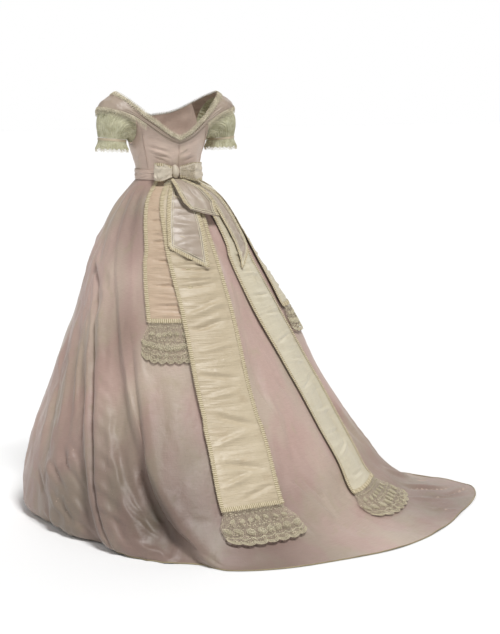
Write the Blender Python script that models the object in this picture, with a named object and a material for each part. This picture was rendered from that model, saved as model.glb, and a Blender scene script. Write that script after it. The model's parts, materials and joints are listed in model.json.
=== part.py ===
"""Ball gown with a swept train, about 1865, standing as if worn.

The gown has a pieced off-the-shoulder bodice, a draped bertha, puffed sleeves, a folded waistband,
a seven-gore skirt, and at the back a bow with two tails over four trimmed sash ends.

Metres, +Z up, origin at the middle of the waist. The front faces -Y and the wearer's left is +X.
Angles run round the body in degrees: 0 at the centre front, 90 at the wearer's left, 180 at the
centre back. A fall runs down the skirt: 0 at the waistband, 1 at the hem.
"""
from types import SimpleNamespace

import bmesh
import bpy
import numpy as np

WAIST_HEIGHT = 1.060        # middle of the waistband above the floor
SEAM_GAP = 0.0003           # between pieces that are sewn together

SKIRT_CLOTH = 0.0020        # satin with its cotton lining
BODICE_CLOTH = 0.0020
BERTHA_CLOTH = 0.0015
SASH_CLOTH = 0.0015
BOW_CLOTH = 0.0015
SLEEVE_CLOTH = 0.0012
LACE_CLOTH = 0.0010

WAIST_SIDE = 0.102          # half width of the waist
WAIST_DEPTH = 0.084         # half depth of the waist
BAND_HALF = 0.0157          # half height of the waistband
BAND_STANDS_OUT = 0.0045    # its folded layers outside the waist
BAND_TURNS_IN = 0.0012      # its lining inside the waist

SKIRT_TOP = BAND_HALF + SEAM_GAP
GATHERS = 24                # soft pleats let into the waistband
GATHER_DEPTH = 0.0035
SKIRT_COLUMNS = 98          # facets round the skirt
SKIRT_ROWS = 13

BODICE_COLUMNS = 56
BODICE_ROWS = 6
UNDERARM = 0.095            # height of the armhole's lowest point
ARMHOLE_RISE = 0.090        # how far the armhole climbs over ARMHOLE_SPREAD degrees
ARMHOLE_SPREAD = 27.0
SIDE_SEAMS = (62.0, 118.0)  # side-front and side-back seams of the bodice

RUCHE_WAVES = 36            # waves of the lace round the neck
RUCHE_ABOVE = 0.004
SLEEVE_FLUTES = 8

BOW_ANGLE = 171.0           # where the bow is sewn to the waistband
BOW_HEIGHT = 0.010
BOW_HUG = 1.6               # how strongly the bow bends round the waist, per metre
LOOP_ROOT = 0.0131          # where the loops leave the knot, sideways from its middle
KNOT_WIDE = 0.013           # half width of the knot
KNOT_TALL = 0.023           # half height of the knot
KNOT_SEAT = 0.0003          # from the waistband to the back of the knot
KNOT_RIM = 0.0065           # from the waistband to the knot's widest part
KNOT_DOME = 0.0165          # how far the knot's front stands out from there
LAYER = 0.0030              # one trimmed layer of sash over another
PRESSED_LAYER = 0.0022      # one layer over another where they are sewn down at the waist
STRIP_STEP = 0.5            # a facet's share of a strip's half width
SHARP_EDGE = 50.0           # degrees between faces that meet at a sharp edge


def table(columns, *rows):
    """Rows of numbers as one named array for each column."""
    return SimpleNamespace(**{name: np.array(values, float)
                              for name, values in zip(columns.split(), zip(*rows))})


# Plan of the hem: its distance from the waist's axis, with the train swept to the wearer's right.
HEM = table(
    "angle radius",
    (0, .450), (40, .470), (70, .470), (100, .485), (125, .520), (150, .645), (175, .765),
    (195, .830), (215, .895), (232, .935), (248, 1.010), (259, .905), (276, .700), (300, .560),
    (330, .470))

# Side view of the skirt: how much of the drop and of the spread is reached at each fall, over the
# bell of the front and over the train.
SIDE_VIEW = table(
    "fall drop bell train",
    (0, 0, 0, 0), (.04, .030, .075, .038), (.10, .080, .185, .088), (.17, .150, .305, .138),
    (.26, .240, .410, .200), (.36, .350, .500, .283), (.47, .470, .610, .360),
    (.58, .600, .735, .435), (.68, .720, .860, .510), (.77, .820, .945, .590),
    (.85, .905, .990, .668), (.91, .960, .995, .775), (.96, .990, .950, .900), (1, 1, .880, 1))
BELL_HEM = 0.47             # hem radius of the plain bell
TRAIN_SPREAD = 0.46         # extra radius where the train's side view takes over

# Where the cloth of each hem angle is gathered into the waistband: the folds sweep to the train.
GATHER_MAP = table(
    "hem waist",
    (0, 0), (65, 40), (100, 60), (138, 77), (170, 105), (200, 140), (230, 180), (245, 210),
    (258, 240), (275, 270), (300, 300), (330, 330), (360, 360))

# The skirt's deep folds. Each climbs steeply over its lip and sinks slowly over its back.
FOLDS = table(
    "hem lip back height start sway",
    (14, 6, 16, .014, .25, 0), (43, 6, 17, .014, .20, 2), (80, 6, 20, .012, .30, 3),
    (113, 6, 20, .018, .25, 6), (141, 5, 24, .034, .08, 3), (169, 5, 26, .044, .06, 0),
    (207, 9, 16, .010, .45, 0), (228, 9, 16, .014, .30, 0), (253, 6, 10, .012, .45, 0),
    (268, 6, 14, .026, .20, 0), (292, 6, 16, .028, .10, -3), (318, 6, 18, .020, .20, -3),
    (342, 6, 14, .014, .30, 0))
FOLD_HOLLOW = 0.55          # depth of the hollow before each lip, as a share of its height

# Seams of the skirt at the hem, with the gore that starts at each.
GORES = (
    (-32.0, "skirt_front"), (34.0, "skirt_side_front_left"), (100.0, "skirt_side_back_left"),
    (151.0, "skirt_back_left"), (217.0, "skirt_back_right"), (259.0, "skirt_side_back_right"),
    (284.0, "skirt_side_front_right"), (328.0, "skirt_front"))

# Level sections of the bodice: half width, and depth before and behind the axis.
BODICE = table(
    "height side front back",
    (-.018, .1010, .086, .0830), (.016, .1020, .088, .0840), (.050, .110, .098, .087),
    (.080, .119, .110, .091), (.110, .128, .120, .097), (.140, .136, .126, .101),
    (.175, .145, .124, .104), (.210, .154, .112, .103), (.255, .165, .095, .098))

# Neckline and bertha: height of the upper and lower edges, and how far each stands off the bodice.
BERTHA = table(
    "angle top low top_out low_out",
    (0, .175, .132, .0022, .005), (30, .185, .138, .0022, .008), (50, .204, .150, .003, .024),
    (66, .226, .174, .005, .055), (78, .242, .193, .008, .073), (90, .250, .204, .010, .075),
    (104, .236, .197, .008, .060), (114, .215, .184, .005, .036), (126, .188, .156, .003, .012),
    (140, .165, .131, .0022, .007), (160, .133, .106, .0022, .004), (180, .114, .094, .0022, .003))
BERTHA_STEP = 7.5           # degrees between its facets
BERTHA_ROWS = 5
BERTHA_PLEATS = 2
BERTHA_PLEAT_DEPTH = 0.0022

# The left sleeve from the armhole (0) to the band (1) and the frill (1.3 to 2): middle of the
# section, its two half sizes, the lean of its plane in degrees, and its saddle round the body.
SLEEVE = table(
    "station x z tall deep lean saddle",
    (0, .1435, .166, .070, .056, 15, .014), (.5, .179, .152, .059, .064, 48, .006),
    (1, .185, .112, .043, .048, 84, 0), (1.3, .185, .104, .043, .048, 86, 0),
    (2, .186, .078, .050, .055, 88, 0))
BAND_START = 1.02
BAND_END = 1.28
FRILL_START = 1.31
FRILL_END = 2.0

# Middle line and half width of each strip that hangs over the skirt.
SASHES = {
    "short_left": table(
        "fall hem half",
        (.004, 205, .020), (.086, 201, .042), (.170, 201, .055), (.315, 197, .065),
        (.400, 194, .068), (.500, 188, .070)),
    "long_left": table(
        "fall hem half",
        (.004, 222, .020), (.070, 219, .050), (.186, 216, .070), (.381, 211, .078),
        (.540, 204, .082), (.673, 198, .088), (.824, 190, .098), (.915, 187, .104)),
    "long_right": table(
        "fall hem half",
        (.004, 237, .020), (.070, 245, .040), (.150, 247, .060), (.280, 243, .070),
        (.420, 241, .080), (.560, 241, .088), (.720, 238, .100), (.852, 231, .108),
        (.925, 229, .112)),
    "short_right": table(
        "fall hem half",
        (.004, 250, .018), (.090, 268, .035), (.236, 264, .055), (.400, 258, .065),
        (.480, 256, .068)),
}
# Fall where the satin stops and the lace starts, fall of the lace, and the layers below: part of a
# layer where a strip clears a fold of the skirt.
SASH_ENDS = {
    "short_left": (.396, .495, 0), "long_left": (.822, .912, 1),
    "long_right": (.850, .925, 0), "short_right": (.396, .470, 0.3)}
TAILS = {
    "left": table("fall hem half", (.004, 225, .012), (.060, 221, .030), (.140, 217, .048),
                  (.280, 210, .056)),
    "right": table("fall hem half", (.004, 243, .012), (.090, 250, .035), (.200, 249, .044),
                   (.290, 243, .045)),
}
TAIL_ENDS = {"left": (.213, .271, 2), "right": (.281, .232, 1)}  # fall at each side, layers below
LOW_LOOP = table("fall hem half", (.006, 224, .014), (.050, 227, .030), (.135, 231, .044))


def rise(x):
    """Soft step from 0 at x = 0 to 1 at x = 1."""
    x = np.clip(x, 0.0, 1.0)
    return x * x * (3.0 - 2.0 * x)


def curve(x, xs, ys, period=0.0):
    """Smooth curve through a table's points that never swings past them."""
    x, xs, ys = np.asarray(x, float), np.asarray(xs, float), np.asarray(ys, float)
    if period:
        xs = np.concatenate([xs[-2:] - period, xs, xs[:2] + period])
        ys = np.concatenate([ys[-2:], ys, ys[:2]])
        x = np.mod(x - xs[2], period) + xs[2]
    steps = np.diff(ys) / np.diff(xs)
    slopes = np.gradient(ys, xs)
    before, after = steps[:-1], steps[1:]
    limit = 3.0 * np.minimum(abs(before), abs(after))
    inner = np.clip(slopes[1:-1], -limit, limit)
    slopes[1:-1] = np.where(before * after > 0.0, inner, 0.0)
    i = np.clip(np.searchsorted(xs, x, side="right") - 1, 0, len(xs) - 2)
    span = xs[i + 1] - xs[i]
    t = np.clip((x - xs[i]) / span, 0.0, 1.0)
    from_ends = (1 + 2 * t) * (1 - t) ** 2 * ys[i] + t * t * (3 - 2 * t) * ys[i + 1]
    return from_ends + t * (1 - t) * span * ((1 - t) * slopes[i] - t * slopes[i + 1])


def around(angle, radius, height):
    """Point at an angle and a distance from the axis."""
    a = np.radians(angle)
    return np.stack(np.broadcast_arrays(radius * np.sin(a), -radius * np.cos(a), height), axis=-1)


def oval(angle, side, front, back):
    """Radius of an oval with its own depth before and behind the axis."""
    a = np.radians(angle)
    depth = np.where(np.cos(a) > 0.0, front, back)
    return 1.0 / np.sqrt((np.sin(a) / side) ** 2 + (np.cos(a) / depth) ** 2)


def fold_height(hem, fall):
    """How far the deep folds push the skirt out, or draw it in before a fold's lip."""
    total = 0.0
    for middle, lip, back, height, start, sway in zip(*vars(FOLDS).values()):
        x = np.mod(hem - middle - sway * np.sin(np.pi * fall) + 180.0, 360.0) - 180.0
        ridge = rise((x + lip) / lip) * (1.0 - rise(x / back))
        hollow = rise((x + 3.0 * lip) / (1.6 * lip)) * (1.0 - rise((x + 1.2 * lip) / lip))
        total = total + height * (ridge - FOLD_HOLLOW * hollow) * rise((fall - start) / (1.15 - start))
    return total


def skirt_form(hem, fall, gathers=0.0):
    """The skirt's face where the cloth of a hem angle lies at a fall, with gathers of a depth."""
    gathered = np.interp(np.mod(hem, 360.0), GATHER_MAP.hem, GATHER_MAP.waist)
    angle = gathered + (np.mod(hem, 360.0) - gathered) * fall
    waist = oval(angle, WAIST_SIDE, WAIST_DEPTH, WAIST_DEPTH)
    spread = curve(angle, HEM.angle, HEM.radius, 360.0)
    train = np.clip((spread - BELL_HEM) / TRAIN_SPREAD, 0.0, 1.0)
    drop, bell, trained = (curve(fall, SIDE_VIEW.fall, column)
                           for column in (SIDE_VIEW.drop, SIDE_VIEW.bell, SIDE_VIEW.train))
    radius = waist + (spread - waist) * (bell + (trained - bell) * train)
    pleats = rise((fall - 0.02) / 0.06) * (1.0 - rise((fall - 0.08) / 0.22))
    radius = radius + gathers * pleats * np.cos(np.radians(GATHERS * gathered))
    lies = 1.0 - 0.75 * train * rise((fall - 0.88) / 0.12)
    radius = radius + fold_height(hem, fall) * lies
    height = -SKIRT_TOP - (WAIST_HEIGHT - SKIRT_TOP - SKIRT_CLOTH) * drop
    return around(angle, radius, height)


def skirt_point(hem, fall):
    """Outer face of the skirt."""
    return skirt_form(hem, fall, GATHER_DEPTH)


def outward(surface, u, v, du, dv):
    """Unit normals of a surface, found from its own nearby points."""
    along = surface(u + du, v) - surface(u - du, v)
    down = surface(u, v + dv) - surface(u, v - dv)
    normal = np.cross(down, along)
    return normal / np.linalg.norm(normal, axis=-1, keepdims=True)


def skirt_layer(hem, fall, lift):
    """Point moved out from the skirt, over its gathers."""
    near = np.clip(fall, 0.004, 0.996)
    return skirt_form(hem, fall) + outward(skirt_form, hem, near, 0.4, 0.003) * lift[..., None]


def metres_a_degree(hem, fall):
    """Length of the skirt's ring under one degree of hem angle."""
    return np.linalg.norm(skirt_form(hem + 0.5, fall) - skirt_form(hem - 0.5, fall), axis=-1)


def satin(name, colour, roughness):
    """Material of one cloth."""
    material = bpy.data.materials.new(name)
    material.use_nodes = True
    shader = material.node_tree.nodes["Principled BSDF"]
    shader.inputs["Base Color"].default_value = (*colour, 1.0)
    shader.inputs["Roughness"].default_value = roughness
    shader.inputs["Metallic"].default_value = 0.0
    return material


def finish(name, mesh, material):
    """Object made from a closed body, smooth but for its sharp edges."""
    bmesh.ops.recalc_face_normals(mesh, faces=mesh.faces)
    data = bpy.data.meshes.new(name)
    mesh.to_mesh(data)
    mesh.free()
    data.shade_smooth()
    data.set_sharp_from_angle(angle=np.radians(SHARP_EDGE))
    data.materials.append(material)
    piece = bpy.data.objects.new(name, data)
    bpy.context.collection.objects.link(piece)
    return piece


def wall(name, outer, inner, material, ring=False):
    """Closed cloth wall between an outer and an inner grid of points, [along][down]."""
    columns, rows = outer.shape[:2]
    mesh = bmesh.new()
    grids = [[[mesh.verts.new(point) for point in line] for line in grid] for grid in (outer, inner)]

    def cell(a, b, c, d):
        mesh.faces.new((a, b, c))
        mesh.faces.new((a, c, d))

    spans = [(i, (i + 1) % columns) for i in range(columns if ring else columns - 1)]
    front, back = grids
    for i, k in spans:
        for j in range(rows - 1):
            cell(front[i][j], front[i][j + 1], front[k][j + 1], front[k][j])
            cell(back[i][j], back[k][j], back[k][j + 1], back[i][j + 1])
        cell(front[k][0], back[k][0], back[i][0], front[i][0])
        cell(front[i][-1], back[i][-1], back[k][-1], front[k][-1])
    if not ring:
        for j in range(rows - 1):
            cell(front[0][j], back[0][j], back[0][j + 1], front[0][j + 1])
            cell(front[-1][j], front[-1][j + 1], back[-1][j + 1], back[-1][j])
    return finish(name, mesh, material)


def solid(name, rings, material):
    """Closed body through rings of points, [round][ring], with flat ends."""
    mesh = bmesh.new()
    lines = [[mesh.verts.new(point) for point in ring] for ring in np.swapaxes(rings, 0, 1)]
    for low, high in zip(lines[:-1], lines[1:]):
        for i, k in zip(range(len(low)), [*range(1, len(low)), 0]):
            mesh.faces.new((low[i], low[k], high[k], high[i]))
    mesh.faces.new(lines[0])
    mesh.faces.new(lines[-1])
    return finish(name, mesh, material)


def cloth(name, surface, u, v, thickness, material, ring=False):
    """Wall of even thickness under a surface, over a grid of its two parameters."""
    one_turn = u[1, 0] - u[0, 0]
    du = np.full_like(u, one_turn) if ring else np.gradient(u, axis=0)
    dv = np.gradient(v, axis=1)
    outer = surface(u, v)
    inner = outer - outward(surface, u, v, du, dv) * thickness
    return wall(name, outer, inner, material, ring)


def grid(us, vs):
    """Two parameters as arrays of one shape, [along][down]."""
    return np.meshgrid(us, vs, indexing="ij")


def skirt_column_lines():
    """Hem angles of the skirt's facets, closer together at the lips of the deep folds."""
    fine = np.linspace(GORES[0][0], GORES[-1][0], 3601)
    crowd = metres_a_degree(fine, np.full_like(fine, 0.85))
    for middle, lip in zip(FOLDS.hem, FOLDS.lip):
        x = np.mod(fine - middle + lip + 180.0, 360.0) - 180.0
        crowd = crowd + 0.008 * np.exp(-(x / (1.3 * lip)) ** 2)
    reached = np.concatenate([[0.0], np.cumsum((crowd[1:] + crowd[:-1]) / 2.0)])
    return fine, reached / reached[-1]


def make_skirt(material):
    """Seven gores, seamed from the waistband to the hem."""
    fine, share = skirt_column_lines()
    rows = np.linspace(0.0, 1.0, SKIRT_ROWS + 1)
    falls = rows - 0.35 * np.sin(2.0 * np.pi * rows) / (2.0 * np.pi)
    for (start, name), (end, _) in zip(GORES[:-1], GORES[1:]):
        first, last = np.interp((start, end), fine, share)
        count = max(6, round((last - first) * SKIRT_COLUMNS))
        lines = np.interp(np.linspace(first, last, count + 1), share, fine)
        hem, fall = grid(lines, falls)
        inset = SEAM_GAP / 2.0 / metres_a_degree(hem, fall)
        hem[0] += inset[0]
        hem[-1] -= inset[-1]
        cloth(name, skirt_point, hem, fall, SKIRT_CLOTH, material)


def bodice_radius(angle, height):
    """Distance of the bodice's outer face from the axis."""
    side, front, back = (curve(height, BODICE.height, column)
                         for column in (BODICE.side, BODICE.front, BODICE.back))
    return oval(angle, side, front, back)


def bodice_point(angle, height):
    return around(angle, bodice_radius(angle, height), height)


def from_front(angle):
    """Angle from the centre front on either side, 0 to 180."""
    return abs(np.mod(angle + 180.0, 360.0) - 180.0)


def neckline(angle):
    return curve(from_front(angle), BERTHA.angle, BERTHA.top)


def bodice_top(angle):
    """Upper edge of the bodice: the neckline, cut away by the armholes."""
    armhole = UNDERARM + ARMHOLE_RISE * ((from_front(angle) - 90.0) / ARMHOLE_SPREAD) ** 2
    return np.minimum(neckline(angle), armhole)


def make_bodice(material):
    """Front, two sides and two backs."""
    front_seam, back_seam = SIDE_SEAMS
    pieces = (("bodice_front", -front_seam, front_seam),
              ("bodice_side_left", front_seam, back_seam), ("bodice_back_left", back_seam, 180.0),
              ("bodice_back_right", 180.0, 360.0 - back_seam),
              ("bodice_side_right", 360.0 - back_seam, 360.0 - front_seam))

    for name, start, end in pieces:
        count = round((end - start) / 360.0 * BODICE_COLUMNS)
        angle, share = grid(np.linspace(start, end, count + 1), np.linspace(1.0, 0.0, BODICE_ROWS + 1))
        bottom = BAND_HALF + SEAM_GAP
        height = bottom + (bodice_top(angle) - bottom) * share
        inset = np.degrees(SEAM_GAP / 2.0 / bodice_radius(angle, height))
        angle[0] += inset[0]
        angle[-1] -= inset[-1]
        cloth(name, bodice_point, angle, height, BODICE_CLOTH, material)


def bertha_point(angle, share):
    """Outer face of the bertha, from the neckline (0) to its lower edge (1)."""
    apart = from_front(angle)
    top, low, top_out, low_out = (curve(apart, BERTHA.angle, column) for column in
                                  (BERTHA.top, BERTHA.low, BERTHA.top_out, BERTHA.low_out))
    height = top + (low - top) * share
    out = top_out + (low_out - top_out) * share + 0.0015 * np.sin(np.pi * share)
    over_shoulder = rise((low_out - 0.010) / 0.050)
    out = out + 0.010 * over_shoulder * np.sin(np.pi * share)
    drape = np.sin(np.pi * np.clip(share, 0.0, 1.0)) * (1.0 - over_shoulder)
    out = out + BERTHA_PLEAT_DEPTH * drape * np.sin(2.0 * np.pi * BERTHA_PLEATS * share)
    return around(angle, bodice_radius(angle, height) + out, height)


def bertha_facet(angle, share):
    """Point on the flat facets of the bertha's outer face."""
    turn, row = np.floor(angle / BERTHA_STEP), np.minimum(np.floor(share * BERTHA_ROWS), BERTHA_ROWS - 1)
    across, down = (angle / BERTHA_STEP - turn)[..., None], (share * BERTHA_ROWS - row)[..., None]
    corners = [[bertha_point((turn + i) * BERTHA_STEP, (row + j) / BERTHA_ROWS) for j in (0, 1)]
               for i in (0, 1)]
    upper = (1.0 - across) * corners[0][0] + across * corners[1][0]
    lower = (1.0 - across) * corners[0][1] + across * corners[1][1]
    return (1.0 - down) * upper + down * lower


def make_bertha(material):
    """Two draped halves that meet at the centre front and the centre back."""
    for side, start in (("left", 0.0), ("right", 180.0)):
        angle, share = grid(np.linspace(start, start + 180.0, round(180.0 / BERTHA_STEP) + 1),
                            np.linspace(0.0, 1.0, BERTHA_ROWS + 1))
        inset = np.degrees(SEAM_GAP / 2.0 / 0.11)
        angle[0] += inset
        angle[-1] -= inset
        cloth(f"bertha_{side}", bertha_point, angle, share, BERTHA_CLOTH, material)


def make_neck_lace(material):
    """Waved lace that stands over the neckline and falls on the bertha."""
    angle, share = grid(np.arange(0.0, 360.0, 90.0 / RUCHE_WAVES), np.array((-1.0, 0.0, 1.0)))

    def over_bertha(turn, down):
        wave = 0.5 + 0.5 * np.cos(np.radians(RUCHE_WAVES * turn))
        out = LACE_CLOTH + 0.0009 + 0.0035 * wave * (0.6 + 0.4 * down)
        share = np.clip(down, 0.0, 1.0) / BERTHA_ROWS
        base = bertha_facet(turn, share)
        base[..., 2] += RUCHE_ABOVE * np.clip(-down, 0.0, 1.0)
        away = outward(bertha_facet, turn, np.clip(share, 0.3 / BERTHA_ROWS, 1.0), 0.6, 0.2 / BERTHA_ROWS)
        return base + away * out[..., None]

    cloth("neck_lace", over_bertha, angle, share, LACE_CLOTH, material, ring=True)


def sleeve_surface(side, depth):
    """Function of the turn round the arm and the station along it, with flutes of a given depth."""
    def point(turn, station):
        row = SimpleNamespace(**{name: curve(station, SLEEVE.station, values)
                                 for name, values in vars(SLEEVE).items() if name != "station"})
        a, lean = np.radians(turn), np.radians(row.lean)
        flute = 1.0 + depth(station) * np.cos(SLEEVE_FLUTES * a) / row.deep
        up, back = row.tall * flute * np.cos(a), row.deep * flute * np.sin(a)
        x = row.x + up * np.sin(lean) - row.saddle * np.sin(a) ** 2
        z = row.z + up * np.cos(lean)
        return np.stack(np.broadcast_arrays(side * x, -side * back, z), axis=-1)
    return point


def make_sleeves(tulle, ribbon):
    """Puff, band and frill of each sleeve."""
    turns = np.arange(0.0, 360.0, 360.0 / (4 * SLEEVE_FLUTES))
    stretches = (
        ("puff", 0.0, 1.0, 4, tulle, turns, lambda s: 0.0032 * np.sin(np.pi * np.clip(s, 0, 1))),
        ("band", BAND_START, BAND_END, 1, ribbon, turns[::2], lambda s: 0.0 * s),
        ("frill", FRILL_START, FRILL_END, 1, tulle, turns, lambda s: 0.0045 * rise(s - 1.2)))
    for side, sign in (("left", 1.0), ("right", -1.0)):
        for part, start, end, rows, material, lines, depth in stretches:
            turn, station = grid(lines, np.linspace(start, end, rows + 1))
            cloth(f"sleeve_{part}_{side}", sleeve_surface(sign, depth), turn, station,
                  SLEEVE_CLOTH, material, ring=True)


def make_waistband(material):
    """Folded band: two soft rolls with a groove between them."""
    def band(angle, height):
        share = height / BAND_HALF
        rolls = 1.0 - 0.35 * np.exp(-((share - 0.15) / 0.2) ** 2) - 0.25 * share ** 4
        radius = oval(angle, WAIST_SIDE, WAIST_DEPTH, WAIST_DEPTH) + BAND_STANDS_OUT * rolls
        return around(angle, radius, height)

    angle, height = grid(np.arange(0.0, 360.0, 9.0), np.linspace(BAND_HALF, -BAND_HALF, 6))
    inside = oval(angle, WAIST_SIDE, WAIST_DEPTH, WAIST_DEPTH) - BAND_TURNS_IN
    wall("waistband", band(angle, height), around(angle, inside, height), material, ring=True)


def bow_point(along, out, up):
    """Point near the bow: along the waist toward the wearer's right, out from it, and up."""
    a = np.radians(BOW_ANGLE)
    seat = oval(BOW_ANGLE, WAIST_SIDE, WAIST_DEPTH, WAIST_DEPTH) + BAND_STANDS_OUT
    sideways = np.array((np.cos(a), np.sin(a), 0.0))
    outwards = np.array((np.sin(a), -np.cos(a), 0.0))
    middle = outwards * seat + np.array((0.0, 0.0, BOW_HEIGHT))
    out = out - BOW_HUG * along ** 2
    along, out, up = (np.asarray(value)[..., None] for value in np.broadcast_arrays(along, out, up))
    return middle + sideways * along + outwards * out + np.array((0.0, 0.0, 1.0)) * up


def make_bow(material):
    """Knot and two flat loops on the waistband."""
    turn, slope = grid(np.arange(0.0, 360.0, 30.0), np.array((0.0, 30.0, 60.0, 80.0)))
    a, b = np.radians(turn), np.radians(slope)
    dome = bow_point(KNOT_WIDE * np.cos(a) * np.cos(b), KNOT_RIM + KNOT_DOME * np.sin(b),
                     KNOT_TALL * np.sin(a) * np.cos(b))
    a = a[:, :1]
    base = bow_point((KNOT_WIDE - 0.001) * np.cos(a), KNOT_SEAT + 0.0 * a, (KNOT_TALL - 0.001) * np.sin(a))
    solid("bow_knot", np.concatenate([base, dome], axis=1), material)

    for name, sign, length in (("bow_loop_left", -1.0, 0.066), ("bow_loop_right", 1.0, 0.086)):
        def loop(turn, height, sign=sign, length=length):
            a = np.radians(turn)
            reach = 0.5 - 0.5 * np.cos(a)
            along = LOOP_ROOT + (length - LOOP_ROOT) * reach
            plump = 0.45 + 0.55 * rise(reach * 1.4)
            out = 0.0150 + 0.0110 * plump * np.sin(a)
            up = (0.016 + 0.010 * rise(reach * 1.5)) * height
            return bow_point(sign * along, out, up)

        turn, height = grid(-sign * np.arange(0.0, 360.0, 22.5), np.linspace(1.0, -1.0, 4))
        cloth(name, loop, turn, height, BOW_CLOTH, material, ring=True)


def strip(rows, across, fall, lift):
    """Points of a strip that hangs over the skirt, -1 to 1 across its width."""
    middle, half = curve(fall, rows.fall, rows.hem), curve(fall, rows.fall, rows.half)
    reach = half / metres_a_degree(middle, fall)
    before = np.clip(np.floor(across / STRIP_STEP), -1.0 / STRIP_STEP, 1.0 / STRIP_STEP - 1.0) * STRIP_STEP
    part_way = ((across - before) / STRIP_STEP)[..., None]
    first = skirt_layer(middle + reach * before, fall, lift)
    second = skirt_layer(middle + reach * (before + STRIP_STEP), fall, lift)
    return (1.0 - part_way) * first + part_way * second


def make_strip(name, rows, below, across, fall, thickness, material):
    """Cloth strip of a sash, a lace end or a tail, over the layers below it."""
    def surface(side, down):
        seated = SASH_CLOTH + 0.0005 + PRESSED_LAYER * below
        lift = seated + (LAYER * (below + 1) + 0.0020) * rise((down - rows.fall[0]) / 0.07)
        return strip(rows, side, down, lift)

    cloth(name, surface, across, fall, thickness, material)


def crowded_rows(count):
    """Rows of a strip from its top (0) to its end (1), closer where it bends over the hip."""
    return np.linspace(0.0, 1.0, count + 1) ** 1.4


def make_sashes(satin_cloth, lace):
    """Four satin sash ends, each finished with a scalloped lace end."""
    for name, rows in SASHES.items():
        stop, lace_stop, below = SASH_ENDS[name]
        start = rows.fall[0]
        count = max(8, round((stop - start) * 22))
        across, fall = grid(np.linspace(-1.0, 1.0, 5), start + (stop - start) * crowded_rows(count))
        make_strip(f"sash_{name}", rows, below, across, fall, SASH_CLOTH, satin_cloth)
        across, down = grid(np.linspace(-1.0, 1.0, 13), np.linspace(0.0, 1.0, 4))
        scallop = 0.86 + 0.14 * abs(np.cos(1.5 * np.pi * across))
        rounded = 1.0 - 0.22 * across ** 6
        begin = stop + SEAM_GAP
        fall = begin + (lace_stop - begin) * down * scallop * rounded
        make_strip(f"lace_{name}", rows, below, across, fall, LACE_CLOTH, lace)


def make_tails(material):
    """Two bow tails with slanting ends, and the loop that hangs between them."""
    for name, rows in TAILS.items():
        stop_left, stop_right, below = TAIL_ENDS[name]
        across, down = grid(np.linspace(-1.0, 1.0, 5), crowded_rows(7))
        stop = stop_left + (stop_right - stop_left) * (across + 1.0) / 2.0
        fall = rows.fall[0] + (stop - rows.fall[0]) * down
        make_strip(f"bow_tail_{name}", rows, below, across, fall, BOW_CLOTH, material)

    def low_loop(turn, across):
        a = np.radians(turn)
        reach = 0.5 - 0.5 * np.cos(a)
        fall = 0.0072 + 0.1208 * reach + 0.012 * across * reach
        lift = 0.0125 + 0.0160 * rise(reach * 2.2) - 0.0065 * np.sin(a)
        return strip(LOW_LOOP, across, fall, lift)

    turn, across = grid(np.arange(0.0, 360.0, 22.5), np.linspace(-1.0, 1.0, 5))
    cloth("bow_loop_low", low_loop, turn, across, BOW_CLOTH, material, ring=True)


def main():
    for leftover in list(bpy.data.objects):
        bpy.data.objects.remove(leftover, do_unlink=True)
    pink = satin("pink_satin", (0.53, 0.38, 0.36), 0.38)
    ivory = satin("ivory_satin", (0.66, 0.58, 0.42), 0.36)
    pearl = satin("pearl_satin", (0.50, 0.45, 0.40), 0.34)
    lace = satin("ivory_lace", (0.56, 0.52, 0.38), 0.80)
    tulle = satin("ivory_tulle", (0.55, 0.56, 0.42), 0.85)
    make_skirt(pink)
    make_waistband(pink)
    make_bodice(pink)
    make_bertha(pink)
    make_neck_lace(lace)
    make_sleeves(tulle, ivory)
    make_bow(pearl)
    make_sashes(ivory, lace)
    make_tails(pearl)


main()
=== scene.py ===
"""Looks of the ball gown: fine cloth over the packed solids, with its trims, materials, light and camera.

The gown stands at the waist's middle, +Z up, its front toward -Y. Angles run round the body in
degrees: 0 at the centre front, 90 at the wearer's left, 180 at the centre back. A fall runs down the
skirt: 0 at the waistband, 1 at the hem.
"""

import json
from types import SimpleNamespace

import bpy
import numpy as np
from mathutils import Matrix

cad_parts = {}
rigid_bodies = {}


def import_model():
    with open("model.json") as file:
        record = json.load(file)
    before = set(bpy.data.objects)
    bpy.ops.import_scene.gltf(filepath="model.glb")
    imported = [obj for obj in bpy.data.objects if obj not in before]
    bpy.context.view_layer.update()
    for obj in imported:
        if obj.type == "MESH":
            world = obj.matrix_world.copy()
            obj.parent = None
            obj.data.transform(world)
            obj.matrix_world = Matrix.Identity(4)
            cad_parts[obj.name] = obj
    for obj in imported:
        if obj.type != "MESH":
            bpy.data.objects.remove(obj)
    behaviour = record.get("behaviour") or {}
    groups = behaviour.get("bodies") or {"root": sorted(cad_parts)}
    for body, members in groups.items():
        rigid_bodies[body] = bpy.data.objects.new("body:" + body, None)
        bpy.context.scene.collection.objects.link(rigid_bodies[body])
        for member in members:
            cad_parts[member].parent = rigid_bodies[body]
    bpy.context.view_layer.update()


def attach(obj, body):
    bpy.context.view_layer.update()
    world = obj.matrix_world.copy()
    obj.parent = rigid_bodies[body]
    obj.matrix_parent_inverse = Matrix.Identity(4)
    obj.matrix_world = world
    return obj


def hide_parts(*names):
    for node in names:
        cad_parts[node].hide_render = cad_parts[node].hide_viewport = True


for leftover in list(bpy.data.objects):
    bpy.data.objects.remove(leftover, do_unlink=True)
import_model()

WAIST_HEIGHT = 1.060        # middle of the waistband above the floor
SEAM_GAP = 0.0003           # between pieces that are sewn together
SKIRT_CLOTH = 0.0020        # satin with its cotton lining
SASH_CLOTH = 0.0015
WAIST_SIDE = 0.102          # half width of the waist
WAIST_DEPTH = 0.084         # half depth of the waist
BAND_HALF = 0.0157          # half height of the waistband
BAND_STANDS_OUT = 0.0045    # its folded layers outside the waist
SKIRT_TOP = BAND_HALF + SEAM_GAP
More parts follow.
